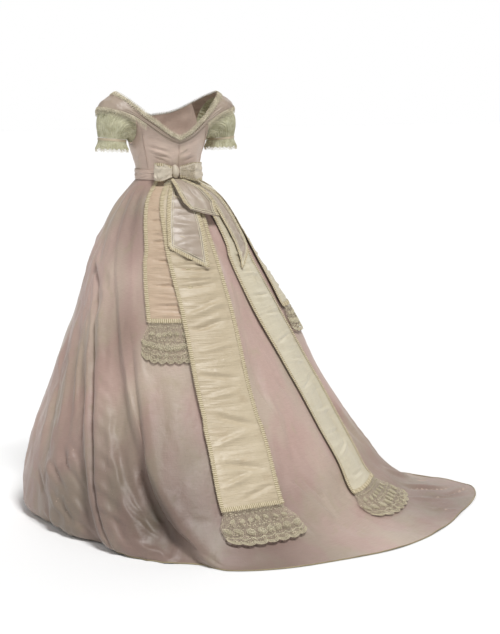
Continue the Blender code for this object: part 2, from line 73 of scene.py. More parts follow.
GATHERS = 24                # soft pleats let into the waistband
GATHER_DEPTH = 0.0035
UNDERARM = 0.095            # height of the armhole's lowest point
ARMHOLE_RISE = 0.090        # how far the armhole climbs over ARMHOLE_SPREAD degrees
ARMHOLE_SPREAD = 27.0
SLEEVE_FLUTES = 8
BOW_ANGLE = 171.0           # where the bow is sewn to the waistband
BOW_HEIGHT = 0.010
BOW_HUG = 1.6               # how strongly the bow bends round the waist, per metre
LOOP_ROOT = 0.0131          # where the loops leave the knot, sideways from its middle
KNOT_WIDE = 0.013           # half width of the knot
KNOT_TALL = 0.023           # half height of the knot
KNOT_RIM = 0.0065           # from the waistband to the knot's widest part
KNOT_DOME = 0.0165          # how far the knot's front stands out from there
LAYER = 0.0030              # one trimmed layer of sash over another
PRESSED_LAYER = 0.0022      # one layer over another where they are sewn down at the waist

FLOOR = -WAIST_HEIGHT
SKIRT_COLUMNS = 560         # facets round the skirt's fine cloth
SKIRT_ROWS = 120
SEAM_PUCKER = 0.0005
SHARP_EDGE = 50.0           # degrees between faces that meet at a sharp edge
WAVES = 9                   # waves that make one uneven field
GOWN_SATIN = 0.0012         # thickness of the fine satin of the skirt and bodice
SASH_SATIN = 0.0009         # of the sash ends and the bertha
BOW_SATIN = 0.0008          # of the bow and the sleeve bands
NET = 0.0004                # of tulle, gathered lace and braid
LACE_NET = 0.0003           # of the lace ends
CRUMPLE = 0.0016            # height of the skirt's small crumples
SWELL = 0.0034              # height of the skirt's broad unevenness
BRAID_SCALLOP = 0.35        # how unevenly a braid's outer edge runs
SASH_BRAID = (0.0048, 0.0016, 0.62)  # its pitch, height, and share that lies on the cloth
TROUGH_SLOPE = 2.4          # how much wider a long trough is on its first side
HEM_PATTERN = 0.0105        # metres of the skirt's pattern to a degree of hem angle
FALL_PATTERN = 1.2          # metres of the skirt's pattern to a whole fall
STRIP_LENGTH = 1.25         # metres of a sash end to a whole fall
RUCHING_STEP = 0.0031       # metres between the rows of a sash end's fine cloth
THREAD = 0.0005             # radius of stitches and fringe
CORD = 0.0011               # radius of the cords, and of the lace ends' edge lines
SKIRT_NEAR = (0.4, 0.003)   # steps to the nearby points that give the skirt's normals
BODICE_NEAR = (0.4, -0.002)
BERTHA_NEAR = (0.6, 0.02)
# Gathered lace round the neck: width, pitch and height of its gathers, and the share inside the edge.
NECK_LACE = (("neck_upper", 0.0135, 0.0058, 0.0026, 0.55), ("neck_lower", 0.0125, 0.0068, 0.0024, 0.15))
CAP_LACE = (0.011, 0.0060, 0.0022, 0.45)
RUCHE_SCALLOP = 0.55
RUCHE_ROWS = 6
RUCHE_WANDER = 1.3
# Rings worked on a lace end: place down it, size in metres and number of petals.
LACE_MOTIFS = ((0.62, 0.0095, 7), (0.30, 0.0065, 6), (0.87, 0.0042, 1))
LACE_LINES = (0.985, 0.955, 0.92, 0.80)
LACE_DOT = 0.0016           # radius of the dots worked on the lace ends
LOOP_LENGTHS = {"left": 0.066, "right": 0.086}
LOW_LOOP_TOP = 0.0072       # fall where the low loop starts
LOW_LOOP_DROP = 0.1208      # how far down it hangs, in falls
STAGE_HALF = 30.0           # half width of the floor

LACE_FLARE = 0.26           # how much wider than its sash a lace end spreads

VIEW_ANGLE = 153.0          # where the camera stands round the gown
VIEW_FAR = 4.5
VIEW_ASIDE = 0.26
VIEW_HEIGHT = 1.36          # above the floor
VIEW_AIM = 0.60
VIEW_LENS = 80.9
AMBIENT = 0.23
LIGHTS = (                  # name, turn to the right of the camera, height, spread in degrees, power
    ("key", 30.0, 60.0, 16.0, 2.70), ("fill", -60.0, 35.0, 50.0, 0.50),
    ("far", 172.0, 38.0, 60.0, 0.72))
BACKDROP = 1.0


def table(columns, *rows):
    """Rows of numbers as one named array for each column."""
    return SimpleNamespace(**{name: np.array(values, float)
                              for name, values in zip(columns.split(), zip(*rows))})


SIDE_SEAMS = (62.0, 118.0)  # side-front and side-back seams of the bodice
# Plan of the hem: its distance from the waist's axis, with the train swept to the wearer's right.
HEM = table(
    "angle radius",
    (0, .450), (40, .470), (70, .470), (100, .485), (125, .520), (150, .645), (175, .765),
    (195, .830), (215, .895), (232, .935), (248, 1.010), (259, .905), (276, .700), (300, .560),
    (330, .470))
# Side view of the skirt: how much of the drop and of the spread is reached at each fall, over the
# bell of the front and over the train.
SIDE_VIEW = table(
    "fall drop bell train",
    (0, 0, 0, 0), (.04, .030, .075, .038), (.10, .080, .185, .088), (.17, .150, .305, .138),
    (.26, .240, .410, .200), (.36, .350, .500, .283), (.47, .470, .610, .360),
    (.58, .600, .735, .435), (.68, .720, .860, .510), (.77, .820, .945, .590),
    (.85, .905, .990, .668), (.91, .960, .995, .775), (.96, .990, .950, .900), (1, 1, .880, 1))
BELL_HEM = 0.47             # hem radius of the plain bell
TRAIN_SPREAD = 0.46         # extra radius where the train's side view takes over
# Where the cloth of each hem angle is gathered into the waistband: the folds sweep to the train.
GATHER_MAP = table(
    "hem waist",
    (0, 0), (65, 40), (100, 60), (138, 77), (170, 105), (200, 140), (230, 180), (245, 210),
    (258, 240), (275, 270), (300, 300), (330, 330), (360, 360))
# The skirt's deep folds. Each climbs steeply over its lip and sinks slowly over its back.
FOLDS = table(
    "hem lip back height start sway",
    (14, 6, 16, .014, .25, 0), (43, 6, 17, .014, .20, 2), (80, 6, 20, .012, .30, 3),
    (113, 6, 20, .018, .25, 6), (141, 5, 24, .034, .08, 3), (169, 5, 26, .044, .06, 0),
    (207, 9, 16, .010, .45, 0), (228, 9, 16, .014, .30, 0), (253, 6, 10, .012, .45, 0),
    (268, 6, 14, .026, .20, 0), (292, 6, 16, .028, .10, -3), (318, 6, 18, .020, .20, -3),
    (342, 6, 14, .014, .30, 0))
FOLD_HOLLOW = 0.55          # depth of the hollow before each lip, as a share of its height
# Seams of the skirt at the hem, with the gore that starts at each.
GORES = (
    (-32.0, "skirt_front"), (34.0, "skirt_side_front_left"), (100.0, "skirt_side_back_left"),
    (151.0, "skirt_back_left"), (217.0, "skirt_back_right"), (259.0, "skirt_side_back_right"),
    (284.0, "skirt_side_front_right"), (328.0, "skirt_front"))
# Level sections of the bodice: half width, and depth before and behind the axis.
BODICE = table(
    "height side front back",
    (-.018, .1010, .086, .0830), (.016, .1020, .088, .0840), (.050, .110, .098, .087),
    (.080, .119, .110, .091), (.110, .128, .120, .097), (.140, .136, .126, .101),
    (.175, .145, .124, .104), (.210, .154, .112, .103), (.255, .165, .095, .098))
# Neckline and bertha: height of the upper and lower edges, and how far each stands off the bodice.
BERTHA = table(
    "angle top low top_out low_out",
    (0, .175, .132, .0022, .005), (30, .185, .138, .0022, .008), (50, .204, .150, .003, .024),
    (66, .226, .174, .005, .055), (78, .242, .193, .008, .073), (90, .250, .204, .010, .075),
    (104, .236, .197, .008, .060), (114, .215, .184, .005, .036), (126, .188, .156, .003, .012),
    (140, .165, .131, .0022, .007), (160, .133, .106, .0022, .004), (180, .114, .094, .0022, .003))
BERTHA_PLEATS = 2
BERTHA_PLEAT_DEPTH = 0.0022
# The left sleeve from the armhole (0) to the band (1) and the frill (1.3 to 2): middle of the
# section, its two half sizes, the lean of its plane in degrees, and its saddle round the body.
SLEEVE = table(
    "station x z tall deep lean saddle",
    (0, .1435, .166, .070, .056, 15, .014), (.5, .179, .152, .059, .064, 48, .006),
    (1, .185, .112, .043, .048, 84, 0), (1.3, .185, .104, .043, .048, 86, 0),
    (2, .186, .078, .050, .055, 88, 0))
BAND_START = 1.02
BAND_END = 1.28
FRILL_START = 1.31
FRILL_END = 2.0
# Middle line and half width of each strip that hangs over the skirt.
SASHES = {
    "short_left": table(
        "fall hem half",
        (.004, 205, .020), (.086, 201, .042), (.170, 201, .055), (.315, 197, .065),
        (.400, 194, .068), (.500, 188, .070)),
    "long_left": table(
        "fall hem half",
        (.004, 222, .020), (.070, 219, .050), (.186, 216, .070), (.381, 211, .078),
        (.540, 204, .082), (.673, 198, .088), (.824, 190, .098), (.915, 187, .104)),
    "long_right": table(
        "fall hem half",
        (.004, 237, .020), (.070, 245, .040), (.150, 247, .060), (.280, 243, .070),
        (.420, 241, .080), (.560, 241, .088), (.720, 238, .100), (.852, 231, .108),
        (.925, 229, .112)),
    "short_right": table(
        "fall hem half",
        (.004, 250, .018), (.090, 268, .035), (.236, 264, .055), (.400, 258, .065),
        (.480, 256, .068)),
}
# Fall where the satin stops and the lace starts, fall of the lace, and the layers below: part of a
# layer where a strip clears a fold of the skirt.
SASH_ENDS = {
    "short_left": (.396, .495, 0), "long_left": (.822, .912, 1),
    "long_right": (.850, .925, 0), "short_right": (.396, .470, 0.3)}
TAILS = {
    "left": table("fall hem half", (.004, 225, .012), (.060, 221, .030), (.140, 217, .048),
                  (.280, 210, .056)),
    "right": table("fall hem half", (.004, 243, .012), (.090, 250, .035), (.200, 249, .044),
                   (.290, 243, .045)),
}
TAIL_ENDS = {"left": (.213, .271, 2), "right": (.281, .232, 1)}  # fall at each side, layers below
LOW_LOOP = table("fall hem half", (.006, 224, .014), (.050, 227, .030), (.135, 231, .044))

# Creases of the skirt: from one place on the cloth to another, with their width and height in
# millimetres; a negative height is a trough. The first rows lie at the back and on the wearer's left.
SKIRT_CREASES = table(
    "from_hem from_fall to_hem to_fall wide deep",
    (139.5, .131, 135.5, .252, 14, -9), (135.5, .252, 148, .309, 12, -8),
    (184.5, .274, 180, .412, 14, -6), (181, .175, 176, .417, 8, 4), (164, .163, 161.5, .425, 20, 4),
    (173, .346, 163.5, .625, 14, -4), (136, .449, 138.5, .635, 16, -6),
    (105.5, .560, 101.5, .760, 14, 4),
    (109.5, .560, 105, .720, 10, -4), (149.5, .462, 158.5, .484, 6, -2.4),
    (149.5, .474, 159, .498, 7, 2.2), (149.5, .530, 157.5, .566, 8, -2.4), (149, .556, 158, .588, 8, 2.2),
    (149, .575, 157, .606, 7, -2.2), (148.5, .598, 157, .640, 9, -2.6),
    (148.5, .618, 157, .660, 9, 2.4), (148.5, .644, 156, .682, 8, -2.4),
    (147.5, .676, 156, .722, 9, 2.6), (147.5, .694, 156, .742, 9, -2.8),
    (146.5, .718, 153.5, .758, 8, 2.4), (144.5, .758, 152, .802, 9, 2.8), (144, .774, 152, .822, 9, -3),
    (143, .810, 152, .850, 9, 3), (143, .828, 152, .870, 9, -3),
    (158.5, .669, 158, .731, 12, -5), (158, .731, 158, .822, 12, -6), (158, .822, 161, .894, 12, -6),
    (155.5, .691, 154.5, .780, 9, 5), (157, .810, 158.5, .835, 5, 4), (155, .827, 158.5, .874, 7, 4),
    (156, .862, 160, .886, 5, 4), (160, .847, 164, .864, 6, 4), (153.5, .802, 155.5, .859, 8, 4),
    (147, .854, 147.5, .931, 12, 5), (151.5, .901, 157.5, .938, 9, 4),
    (175, .679, 169.5, .751, 6, -4), (179, .714, 170.5, .805, 10, -5),
    (172.5, .807, 168.5, .839, 7, 4), (172, .832, 177.5, .837, 8, -4),
    (177.5, .657, 170.5, .788, 12, 4), (181.5, .723, 175.5, .822, 12, -4),
    (125, .718, 130.5, .773, 8, -6), (128, .701, 134.5, .751, 9, 6), (119, .760, 126.5, .815, 10, -6),
    (109.5, .738, 121, .800, 11, 6), (129.5, .753, 136.5, .822, 11, -7),
    (128.5, .825, 134.5, .889, 11, 6), (122.5, .829, 127, .904, 10, -6),
    (115.5, .829, 123, .887, 10, 6), (100.5, .788, 110, .854, 11, -6), (128, .879, 134, .946, 10, -6),
    (91.5, .511, 106, .575, 9, 4), (131, .477, 133.5, .647, 8, 4), (152.5, .353, 151.5, .464, 9, 4),
    (157.5, .400, 155.5, .523, 10, -3), (229.5, .220, 221.5, .348, 12, -5),
    (221.5, .348, 215, .496, 14, -6), (231.5, .277, 224, .400, 8, 4), (221.5, .425, 217, .543, 10, 4),
    (221.5, .472, 216.5, .615, 14, -5), (226.5, .546, 228.5, .593, 9, -5),
    (218.5, .556, 218, .652, 12, 4), (219.5, .640, 212, .753, 14, -5),
    (213.5, .635, 203.5, .765, 12, 4), (206, .773, 207.5, .825, 8, 5),
    (210.5, .765, 213.5, .842, 9, -5), (208, .827, 210.5, .891, 9, 4),
    (213.5, .810, 208, .916, 10, -4), (199.5, .839, 200, .911, 9, 4),
    (222.5, .775, 223.5, .837, 8, -4), (235, .946, 233.5, .995, 7, 4),
    (179.5, .901, 188, .941, 9, -4), (179.5, .509, 173.5, .637, 9, 4),
    (183.5, .509, 176, .677, 12, -4), (185, .573, 178, .721, 9, 4), (185, .637, 181.5, .723, 9, -3),
    (192, .215, 187.5, .341, 8, -3),
    (244, .900, 250, .970, 10, -5), (239, .925, 246, .988, 8, 5), (252, .915, 258, .985, 9, -5),
    (236, .890, 241, .965, 8, 4), (247, .850, 253, .905, 9, 4), (241, .950, 250, .995, 7, -4),
    # Hidden sides: the front and the wearer's right.
    (-4, .22, 4, .52, 12, 4), (12, .45, 6, .80, 14, -4), (-20, .30, -14, .62, 10, 3),
    (28, .62, 36, .86, 9, 4), (52, .30, 48, .66, 14, -5), (60, .70, 68, .84, 8, 4),
    (76, .42, 74, .70, 10, 3), (24, .80, 31, .93, 9, -4), (-8, .78, -2, .92, 8, 4),
    (-26, .66, -30, .90, 10, -4), (88, .66, 94, .80, 9, -4), (46, .80, 52, .94, 8, 4),
    (246, .50, 250, .78, 12, -5), (256, .62, 252, .86, 9, 4), (272, .40, 276, .72, 14, -5),
    (280, .60, 288, .80, 9, 4), (284, .76, 278, .92, 9, -4), (298, .35, 300, .70, 10, 4),
    (306, .64, 314, .84, 9, -4), (312, .78, 306, .94, 8, 4), (322, .34, 326, .66, 12, -4),
    (336, .56, 332, .86, 10, 4), (262, .82, 268, .94, 8, -4), (292, .84, 298, .95, 8, 4))

# Long folds that run down the skirt: width and height in millimetres, then the hem angle and fall of
# each place on the way.
LONG_FOLDS = (
    (6.5, -19, (140, .259), (148.5, .309), (146.5, .393), (147, .484), (147.5, .558),
     (147, .632), (146, .709), (144, .778), (142.5, .862), (142.5, .914), (142, .963)),
    (16, 6, (154.5, .274), (155.5, .351), (152.5, .427), (151.5, .521), (150.5, .630),
     (148.5, .741), (147, .830), (146, .901)),
    (10, -20, (174, .440), (172.5, .499), (170.5, .593), (168.5, .657), (165.5, .721),
     (163.5, .788), (164, .849), (167, .889), (170, .938)),
    (22, 7, (178.5, .380), (177.5, .440), (176, .521), (173.5, .615), (170.5, .714),
     (168.5, .770), (169.5, .820), (171, .867), (173.5, .916)),
    (16, -6, (161.5, .520), (161, .585), (160, .647), (158.5, .714), (158.5, .780),
     (160, .857), (163.5, .914)),
    (14, 4, (155.5, .580), (155, .649), (154.5, .701), (153, .770), (153.5, .842),
     (155.5, .916)),
    (11, -4, (151, .700), (150.5, .736), (148.5, .805), (148.5, .874), (149.5, .926)),
    (13, -9, (122.5, .330), (126, .400), (128, .452), (128.5, .536), (129, .602),
     (129, .691), (126, .778)),
    (13, 6, (136, .300), (137.5, .373), (138.5, .474), (137.5, .556), (137, .644),
     (134.5, .736)),
    (12, -9, (98, .420), (101, .496), (105.5, .563), (109, .630), (110.5, .711),
     (108.5, .770)),
    (12, 6, (115, .400), (119, .484), (122, .563), (122.5, .617), (122.5, .699),
     (120, .783)),
    # Hidden sides: the front and the wearer's right.
    (14, -7, (20, .20), (24, .45), (22, .70), (27, .92)),
    (16, 6, (40, .25), (42, .50), (45, .75), (43, .93)),
    (14, -7, (66, .22), (64, .48), (68, .74), (66, .92)),
    (14, -7, (-22, .22), (-26, .48), (-24, .72), (-29, .93)),
    (16, 6, (-44, .24), (-47, .50), (-52, .76), (-50, .93)),
    (14, -7, (-70, .22), (-74, .50), (-72, .74), (-77, .93)),
    (15, 6, (-94, .26), (-99, .52), (-97, .76), (-103, .93)))

# Where the columns of the skirt's fine cloth stand closer, for its deepest folds, in degrees.
CROWDS = table("middle spread share", (150, 32, 1.2), (146.5, 4, 1.6), (169, 6, 1.3))

# Painted shade on the skirt, in patches mostly towards the hem and in its deep folds: a place, how far the
# painted shade reaches, and the share of its brightness left.
SKIRT_PAINTED_SHADE = (
    (0.29, 0.45, -0.92, 0.34, 0.50), (0.03, 0.72, -1.06, 0.42, 0.46), (0.46, 0.20, -0.98, 0.38, 0.50),
    (0.20, 0.43, -0.75, 0.30, 0.76), (-0.74, 0.46, -1.06, 0.50, 0.50), (0.20, -0.40, -1.06, 0.50, 0.72),
    (-0.35, -0.35, -1.06, 0.50, 0.72), (0.15, 0.15, -0.08, 0.22, 0.52), (0.36, 0.10, -0.60, 0.26, 0.72),
    (0.23, 0.24, -0.45, 0.16, 0.70), (0.24, 0.52, -0.99, 0.16, 0.62))

# Drag lines of the bodice, by angle and height.
BODICE_CREASES = table(
    "from_angle from_height to_angle to_height wide deep",
    (123, .090, 158, .072, 4, -1.3), (122, .080, 160, .060, 4, 1.1), (125, .070, 162, .050, 4, -1.4),
    (128, .056, 156, .040, 4, -1.0), (121, .120, 150, .104, 5, -1.0), (182, .060, 205, .078, 4, -1.1),
    (184, .050, 214, .066, 4, 1.0), (190, .040, 222, .054, 4, -1.1), (198, .098, 232, .112, 5, -0.9),
    (20, .050, 48, .070, 5, -1.2), (-20, .052, -46, .072, 5, -1.2), (-8, .085, 14, .090, 6, 0.9),
    (70, .050, 84, .075, 5, -1.0), (96, .045, 112, .070, 5, 1.0), (276, .050, 290, .072, 5, -1.0))
SEAM_STITCHES = (
    (179.0, .020, .112), (181.0, .020, .112), (118.7, .020, .128), (117.3, .020, .128),
    (61.3, .020, .150), (62.7, .020, .150), (-61.3, .020, .150), (-62.7, .020, .150),
    (-118.7, .020, .128), (-117.3, .020, .128))

# Creases of the sash ends and tails, by place across the strip (-1 to 1) and fall.
CREASE_COLUMNS = "from_across from_fall to_across to_fall wide deep"
SASH_CREASES = {
    "short_left": table(
        CREASE_COLUMNS,
        (-.7, .100, .6, .112, 6, 2.5), (-.7, .135, .5, .130, 6, -2.5), (-.8, .165, .7, .172, 6, 2.5),
        (-.7, .192, .2, .186, 5, -2.5), (-.8, .214, .7, .222, 6, 2.5), (-.6, .240, .8, .244, 6, -2.5),
        (-.8, .262, .4, .258, 6, 2.5), (-.7, .284, .8, .292, 7, 2), (-.8, .306, .6, .302, 6, -2.5),
        (-.7, .330, .7, .338, 7, 2.5), (-.8, .356, .8, .352, 7, -2.5), (-.7, .376, .6, .380, 6, 2)),
    "long_left": table(
        CREASE_COLUMNS,
        (-.6, .060, .5, .085, 8, 4), (-.9, .130, .0, .160, 7, 3), (-.8, .175, .4, .205, 7, -3),
        (-.9, .222, .7, .232, 7, 3), (-.9, .246, .8, .252, 6, 3), (-.8, .264, .9, .272, 7, -3),
        (-.9, .286, .9, .292, 8, 3), (-.8, .312, .7, .304, 8, -2.5), (-.9, .385, .8, .350, 16, 5),
        (-.8, .420, .6, .392, 12, -4), (-.7, .470, .8, .455, 12, 3), (-.9, .520, .7, .535, 12, -3),
        (-.8, .575, .6, .560, 14, 3), (-.6, .610, .9, .640, 14, -3.5), (-.9, .680, .5, .650, 14, 3),
        (-.7, .715, .8, .735, 14, -3.5), (-.8, .770, .3, .745, 12, 4), (-.3, .800, .8, .775, 10, -3)),
    "long_right": table(
        CREASE_COLUMNS,
        (-.5, .080, .3, .160, 8, 3), (-.1, .200, .1, .330, 10, 4), (-.6, .240, .7, .252, 6, -3),
        (-.6, .290, .7, .300, 7, 3), (-.7, .345, .8, .352, 7, -3), (-.5, .400, .6, .410, 9, 3.5),
        (-.7, .470, .8, .460, 8, -3), (-.6, .520, .7, .535, 9, 3), (-.8, .590, .5, .580, 9, -3),
        (-.6, .650, .8, .662, 10, 3.5), (-.8, .700, .6, .715, 9, -3), (-.7, .760, .7, .748, 10, 3),
        (-.6, .810, .6, .820, 9, -3)),
    "short_right": table(
        CREASE_COLUMNS,
        (-.7, .110, .6, .122, 7, 2.5), (-.6, .165, .7, .158, 6, -2.5), (-.7, .210, .6, .220, 7, 2.5),
        (-.8, .262, .7, .256, 6, -2.5), (-.7, .306, .7, .314, 7, 2.5), (-.6, .352, .8, .348, 6, -2)),
}
TAIL_CREASES = {
    "left": table(
        CREASE_COLUMNS,
        (-.8, .108, .5, .114, 7, 3.5), (-.9, .124, .8, .128, 6, -3), (-.8, .146, .9, .152, 9, 3.5),
        (-.9, .172, .9, .176, 11, -3.5), (-.7, .205, .6, .196, 12, 3), (-.4, .232, .8, .240, 9, -2.5)),
    "right": table(
        CREASE_COLUMNS,
        (-.1, .060, .0, .200, 12, 4), (-.6, .140, .6, .152, 7, -2.5), (-.7, .185, .7, .192, 8, 3),
        (-.6, .225, .6, .220, 8, -2.5)),
}


def rise(x):
    """Soft step from 0 at x = 0 to 1 at x = 1."""
    x = np.clip(x, 0.0, 1.0)
    return x * x * (3.0 - 2.0 * x)


def hump(x, middle, spread):
    """Soft hump of height 1 round a middle."""
    return np.exp(-((x - middle) / spread) ** 2)


def wrapped(angle):
    """Angle brought between -180 and 180 degrees."""
    return np.mod(angle + 180.0, 360.0) - 180.0


def curve(x, xs, ys, period=0.0):
    """Smooth curve through a table's points that never swings past them."""
    x, xs, ys = np.asarray(x, float), np.asarray(xs, float), np.asarray(ys, float)
    if period:
        xs = np.concatenate([xs[-2:] - period, xs, xs[:2] + period])
        ys = np.concatenate([ys[-2:], ys, ys[:2]])
        x = np.mod(x - xs[2], period) + xs[2]
    steps = np.diff(ys) / np.diff(xs)
    slopes = np.gradient(ys, xs)
    before, after = steps[:-1], steps[1:]
    limit = 3.0 * np.minimum(abs(before), abs(after))
    inner = np.clip(slopes[1:-1], -limit, limit)
    slopes[1:-1] = np.where(before * after > 0.0, inner, 0.0)
    i = np.clip(np.searchsorted(xs, x, side="right") - 1, 0, len(xs) - 2)
    span = xs[i + 1] - xs[i]
    t = np.clip((x - xs[i]) / span, 0.0, 1.0)
    from_ends = (1 + 2 * t) * (1 - t) ** 2 * ys[i] + t * t * (3 - 2 * t) * ys[i + 1]
    return from_ends + t * (1 - t) * span * ((1 - t) * slopes[i] - t * slopes[i + 1])


def around(angle, radius, height):
    """Point at an angle and a distance from the axis."""
    a = np.radians(angle)
    return np.stack(np.broadcast_arrays(radius * np.sin(a), -radius * np.cos(a), height), axis=-1)


def oval(angle, side, front, back):
    """Radius of an oval with its own depth before and behind the axis."""
    a = np.radians(angle)
    depth = np.where(np.cos(a) > 0.0, front, back)
    return 1.0 / np.sqrt((np.sin(a) / side) ** 2 + (np.cos(a) / depth) ** 2)


def fold_height(hem, fall):
    """How far the deep folds push the skirt out, or draw it in before a fold's lip."""
    total = 0.0
    for middle, lip, back, height, start, sway in zip(*vars(FOLDS).values()):
        x = wrapped(hem - middle - sway * np.sin(np.pi * fall))
        ridge = rise((x + lip) / lip) * (1.0 - rise(x / back))
        hollow = rise((x + 3.0 * lip) / (1.6 * lip)) * (1.0 - rise((x + 1.2 * lip) / lip))
        total = total + height * (ridge - FOLD_HOLLOW * hollow) * rise((fall - start) / (1.15 - start))
    return total


def skirt_form(hem, fall, gathers=0.0):
    """The skirt's face where the cloth of a hem angle lies at a fall, with gathers of a depth."""
    gathered = np.interp(np.mod(hem, 360.0), GATHER_MAP.hem, GATHER_MAP.waist)
    angle = gathered + (np.mod(hem, 360.0) - gathered) * fall
    waist = oval(angle, WAIST_SIDE, WAIST_DEPTH, WAIST_DEPTH)
    spread = curve(angle, HEM.angle, HEM.radius, 360.0)
    train = np.clip((spread - BELL_HEM) / TRAIN_SPREAD, 0.0, 1.0)
    drop, bell, trained = (curve(fall, SIDE_VIEW.fall, column)
                           for column in (SIDE_VIEW.drop, SIDE_VIEW.bell, SIDE_VIEW.train))
    radius = waist + (spread - waist) * (bell + (trained - bell) * train)
    pleats = rise((fall - 0.02) / 0.06) * (1.0 - rise((fall - 0.08) / 0.22))
    radius = radius + gathers * pleats * np.cos(np.radians(GATHERS * gathered))
    lies = 1.0 - 0.75 * train * rise((fall - 0.88) / 0.12)
    radius = radius + fold_height(hem, fall) * lies
    height = -SKIRT_TOP - (WAIST_HEIGHT - SKIRT_TOP - SKIRT_CLOTH) * drop
    return around(angle, radius, height)


def outward(surface, u, v, du, dv):
    """Unit normals of a surface, found from its own nearby points."""
    along = surface(u + du, v) - surface(u - du, v)
    down = surface(u, v + dv) - surface(u, v - dv)
    normal = np.cross(down, along)
    return normal / np.linalg.norm(normal, axis=-1, keepdims=True)


def skirt_layer(hem, fall, lift):
    """Point moved out from the skirt, over its gathers."""
    near = np.clip(fall, 0.004, 0.996)
    return skirt_form(hem, fall) + outward(skirt_form, hem, near, *SKIRT_NEAR) * lift[..., None]


def metres_a_degree(hem, fall):
    """Length of the skirt's ring under one degree of hem angle."""
    return np.linalg.norm(skirt_form(hem + 0.5, fall) - skirt_form(hem - 0.5, fall), axis=-1)


def bodice_radius(angle, height):
    """Distance of the bodice's outer face from the axis."""
    side, front, back = (curve(height, BODICE.height, column)
                         for column in (BODICE.side, BODICE.front, BODICE.back))
    return oval(angle, side, front, back)


def bodice_point(angle, height):
    return around(angle, bodice_radius(angle, height), height)


def from_front(angle):
    """Angle from the centre front on either side, 0 to 180."""
    return abs(wrapped(angle))


def neckline(angle):
    return curve(from_front(angle), BERTHA.angle, BERTHA.top)


def bodice_top(angle):
    """Upper edge of the bodice: the neckline, cut away by the armholes."""
    armhole = UNDERARM + ARMHOLE_RISE * ((from_front(angle) - 90.0) / ARMHOLE_SPREAD) ** 2
    return np.minimum(neckline(angle), armhole)


def bertha_point(angle, share):
    """Outer face of the bertha, from the neckline (0) to its lower edge (1)."""
    apart = from_front(angle)
    top, low, top_out, low_out = (curve(apart, BERTHA.angle, column) for column in
                                  (BERTHA.top, BERTHA.low, BERTHA.top_out, BERTHA.low_out))
    height = top + (low - top) * share
    out = top_out + (low_out - top_out) * share + 0.0015 * np.sin(np.pi * share)
    over_shoulder = rise((low_out - 0.010) / 0.050)
    out = out + 0.010 * over_shoulder * np.sin(np.pi * share)
    drape = np.sin(np.pi * np.clip(share, 0.0, 1.0)) * (1.0 - over_shoulder)
    out = out + BERTHA_PLEAT_DEPTH * drape * np.sin(2.0 * np.pi * BERTHA_PLEATS * share)
    return around(angle, bodice_radius(angle, height) + out, height)


def sleeve_surface(side, depth):
    """Function of the turn round the arm and the station along it, with flutes of a given depth."""
    def point(turn, station):
        row = SimpleNamespace(**{name: curve(station, SLEEVE.station, values)
                                 for name, values in vars(SLEEVE).items() if name != "station"})
        a, lean = np.radians(turn), np.radians(row.lean)
        flute = 1.0 + depth(station) * np.cos(SLEEVE_FLUTES * a) / row.deep
        up, back = row.tall * flute * np.cos(a), row.deep * flute * np.sin(a)
        x = row.x + up * np.sin(lean) - row.saddle * np.sin(a) ** 2
        z = row.z + up * np.cos(lean)
        return np.stack(np.broadcast_arrays(side * x, -side * back, z), axis=-1)
    return point


def bow_point(along, out, up):
    """Point near the bow: along the waist toward the wearer's right, out from it, and up."""
    a = np.radians(BOW_ANGLE)
    seat = oval(BOW_ANGLE, WAIST_SIDE, WAIST_DEPTH, WAIST_DEPTH) + BAND_STANDS_OUT
    sideways = np.array((np.cos(a), np.sin(a), 0.0))
    outwards = np.array((np.sin(a), -np.cos(a), 0.0))
    middle = outwards * seat + np.array((0.0, 0.0, BOW_HEIGHT))
    out = out - BOW_HUG * along ** 2
    along, out, up = (np.asarray(value)[..., None] for value in np.broadcast_arrays(along, out, up))
    return middle + sideways * along + outwards * out + np.array((0.0, 0.0, 1.0)) * up


def grid(first, second):
    """Places along and down a piece of cloth, [along][down]."""
    return np.meshgrid(first, second, indexing="ij")


def lifted(points, normals, amount):
    return points + normals * np.asarray(amount)[..., None]


def unit(vectors):
    return vectors / np.maximum(np.linalg.norm(vectors, axis=-1, keepdims=True), 1e-12)


def face_normals(points, ring=False):
    """Outward normals of a grid of points, [along][down]."""
    along = np.gradient(points, axis=0)
    if ring:
        along = np.roll(points, -1, axis=0) - np.roll(points, 1, axis=0)
    return unit(np.cross(np.gradient(points, axis=1), along))


def noise(points, size, seed):
    """Smooth uneven field from -1 to 1, with bumps of about a given size in metres."""
    chance = np.random.default_rng(seed)
    total = 0.0
    for _ in range(WAVES):
        direction = unit(chance.normal(size=3)) / (size * chance.uniform(0.7, 1.6))
        total = total + np.sin(2.0 * np.pi * (points @ direction) + chance.uniform(0.0, 6.28))
    return total / (0.9 * WAVES ** 0.5)


def crumple(points, size, seed):
    """Uneven field with soft ridges, as silk that has been folded away."""
    bent = points + 0.25 * size * noise(points, 1.7 * size, seed + 50)[..., None]
    return 1.0 - 2.0 * np.sqrt(noise(bent, size, seed) ** 2 + 0.02)


def mesh_piece(name, points, faces, material, texture=None, second=(), second_faces=None):
    """Smooth object from points and faces, with places on the cloth in metres for its patterns."""
    data = bpy.data.meshes.new(name)
    data.from_pydata(np.asarray(points).tolist(), [], np.asarray(faces).tolist())
    data.materials.append(material)
    for extra in second:
        data.materials.append(extra)
    if second_faces is not None:
        data.polygons.foreach_set("material_index", second_faces.astype(np.int32))
    if texture is not None:
        layer = data.uv_layers.new(name="cloth")
        corner = np.zeros(len(data.loops), np.int32)
        data.loops.foreach_get("vertex_index", corner)
        layer.uv.foreach_set("vector", np.asarray(texture, np.float32)[corner].ravel())
    data.shade_smooth()
    data.set_sharp_from_angle(angle=np.radians(SHARP_EDGE))
    piece = bpy.data.objects.new(name, data)
    bpy.context.collection.objects.link(piece)
    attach(piece, "root")
    return piece


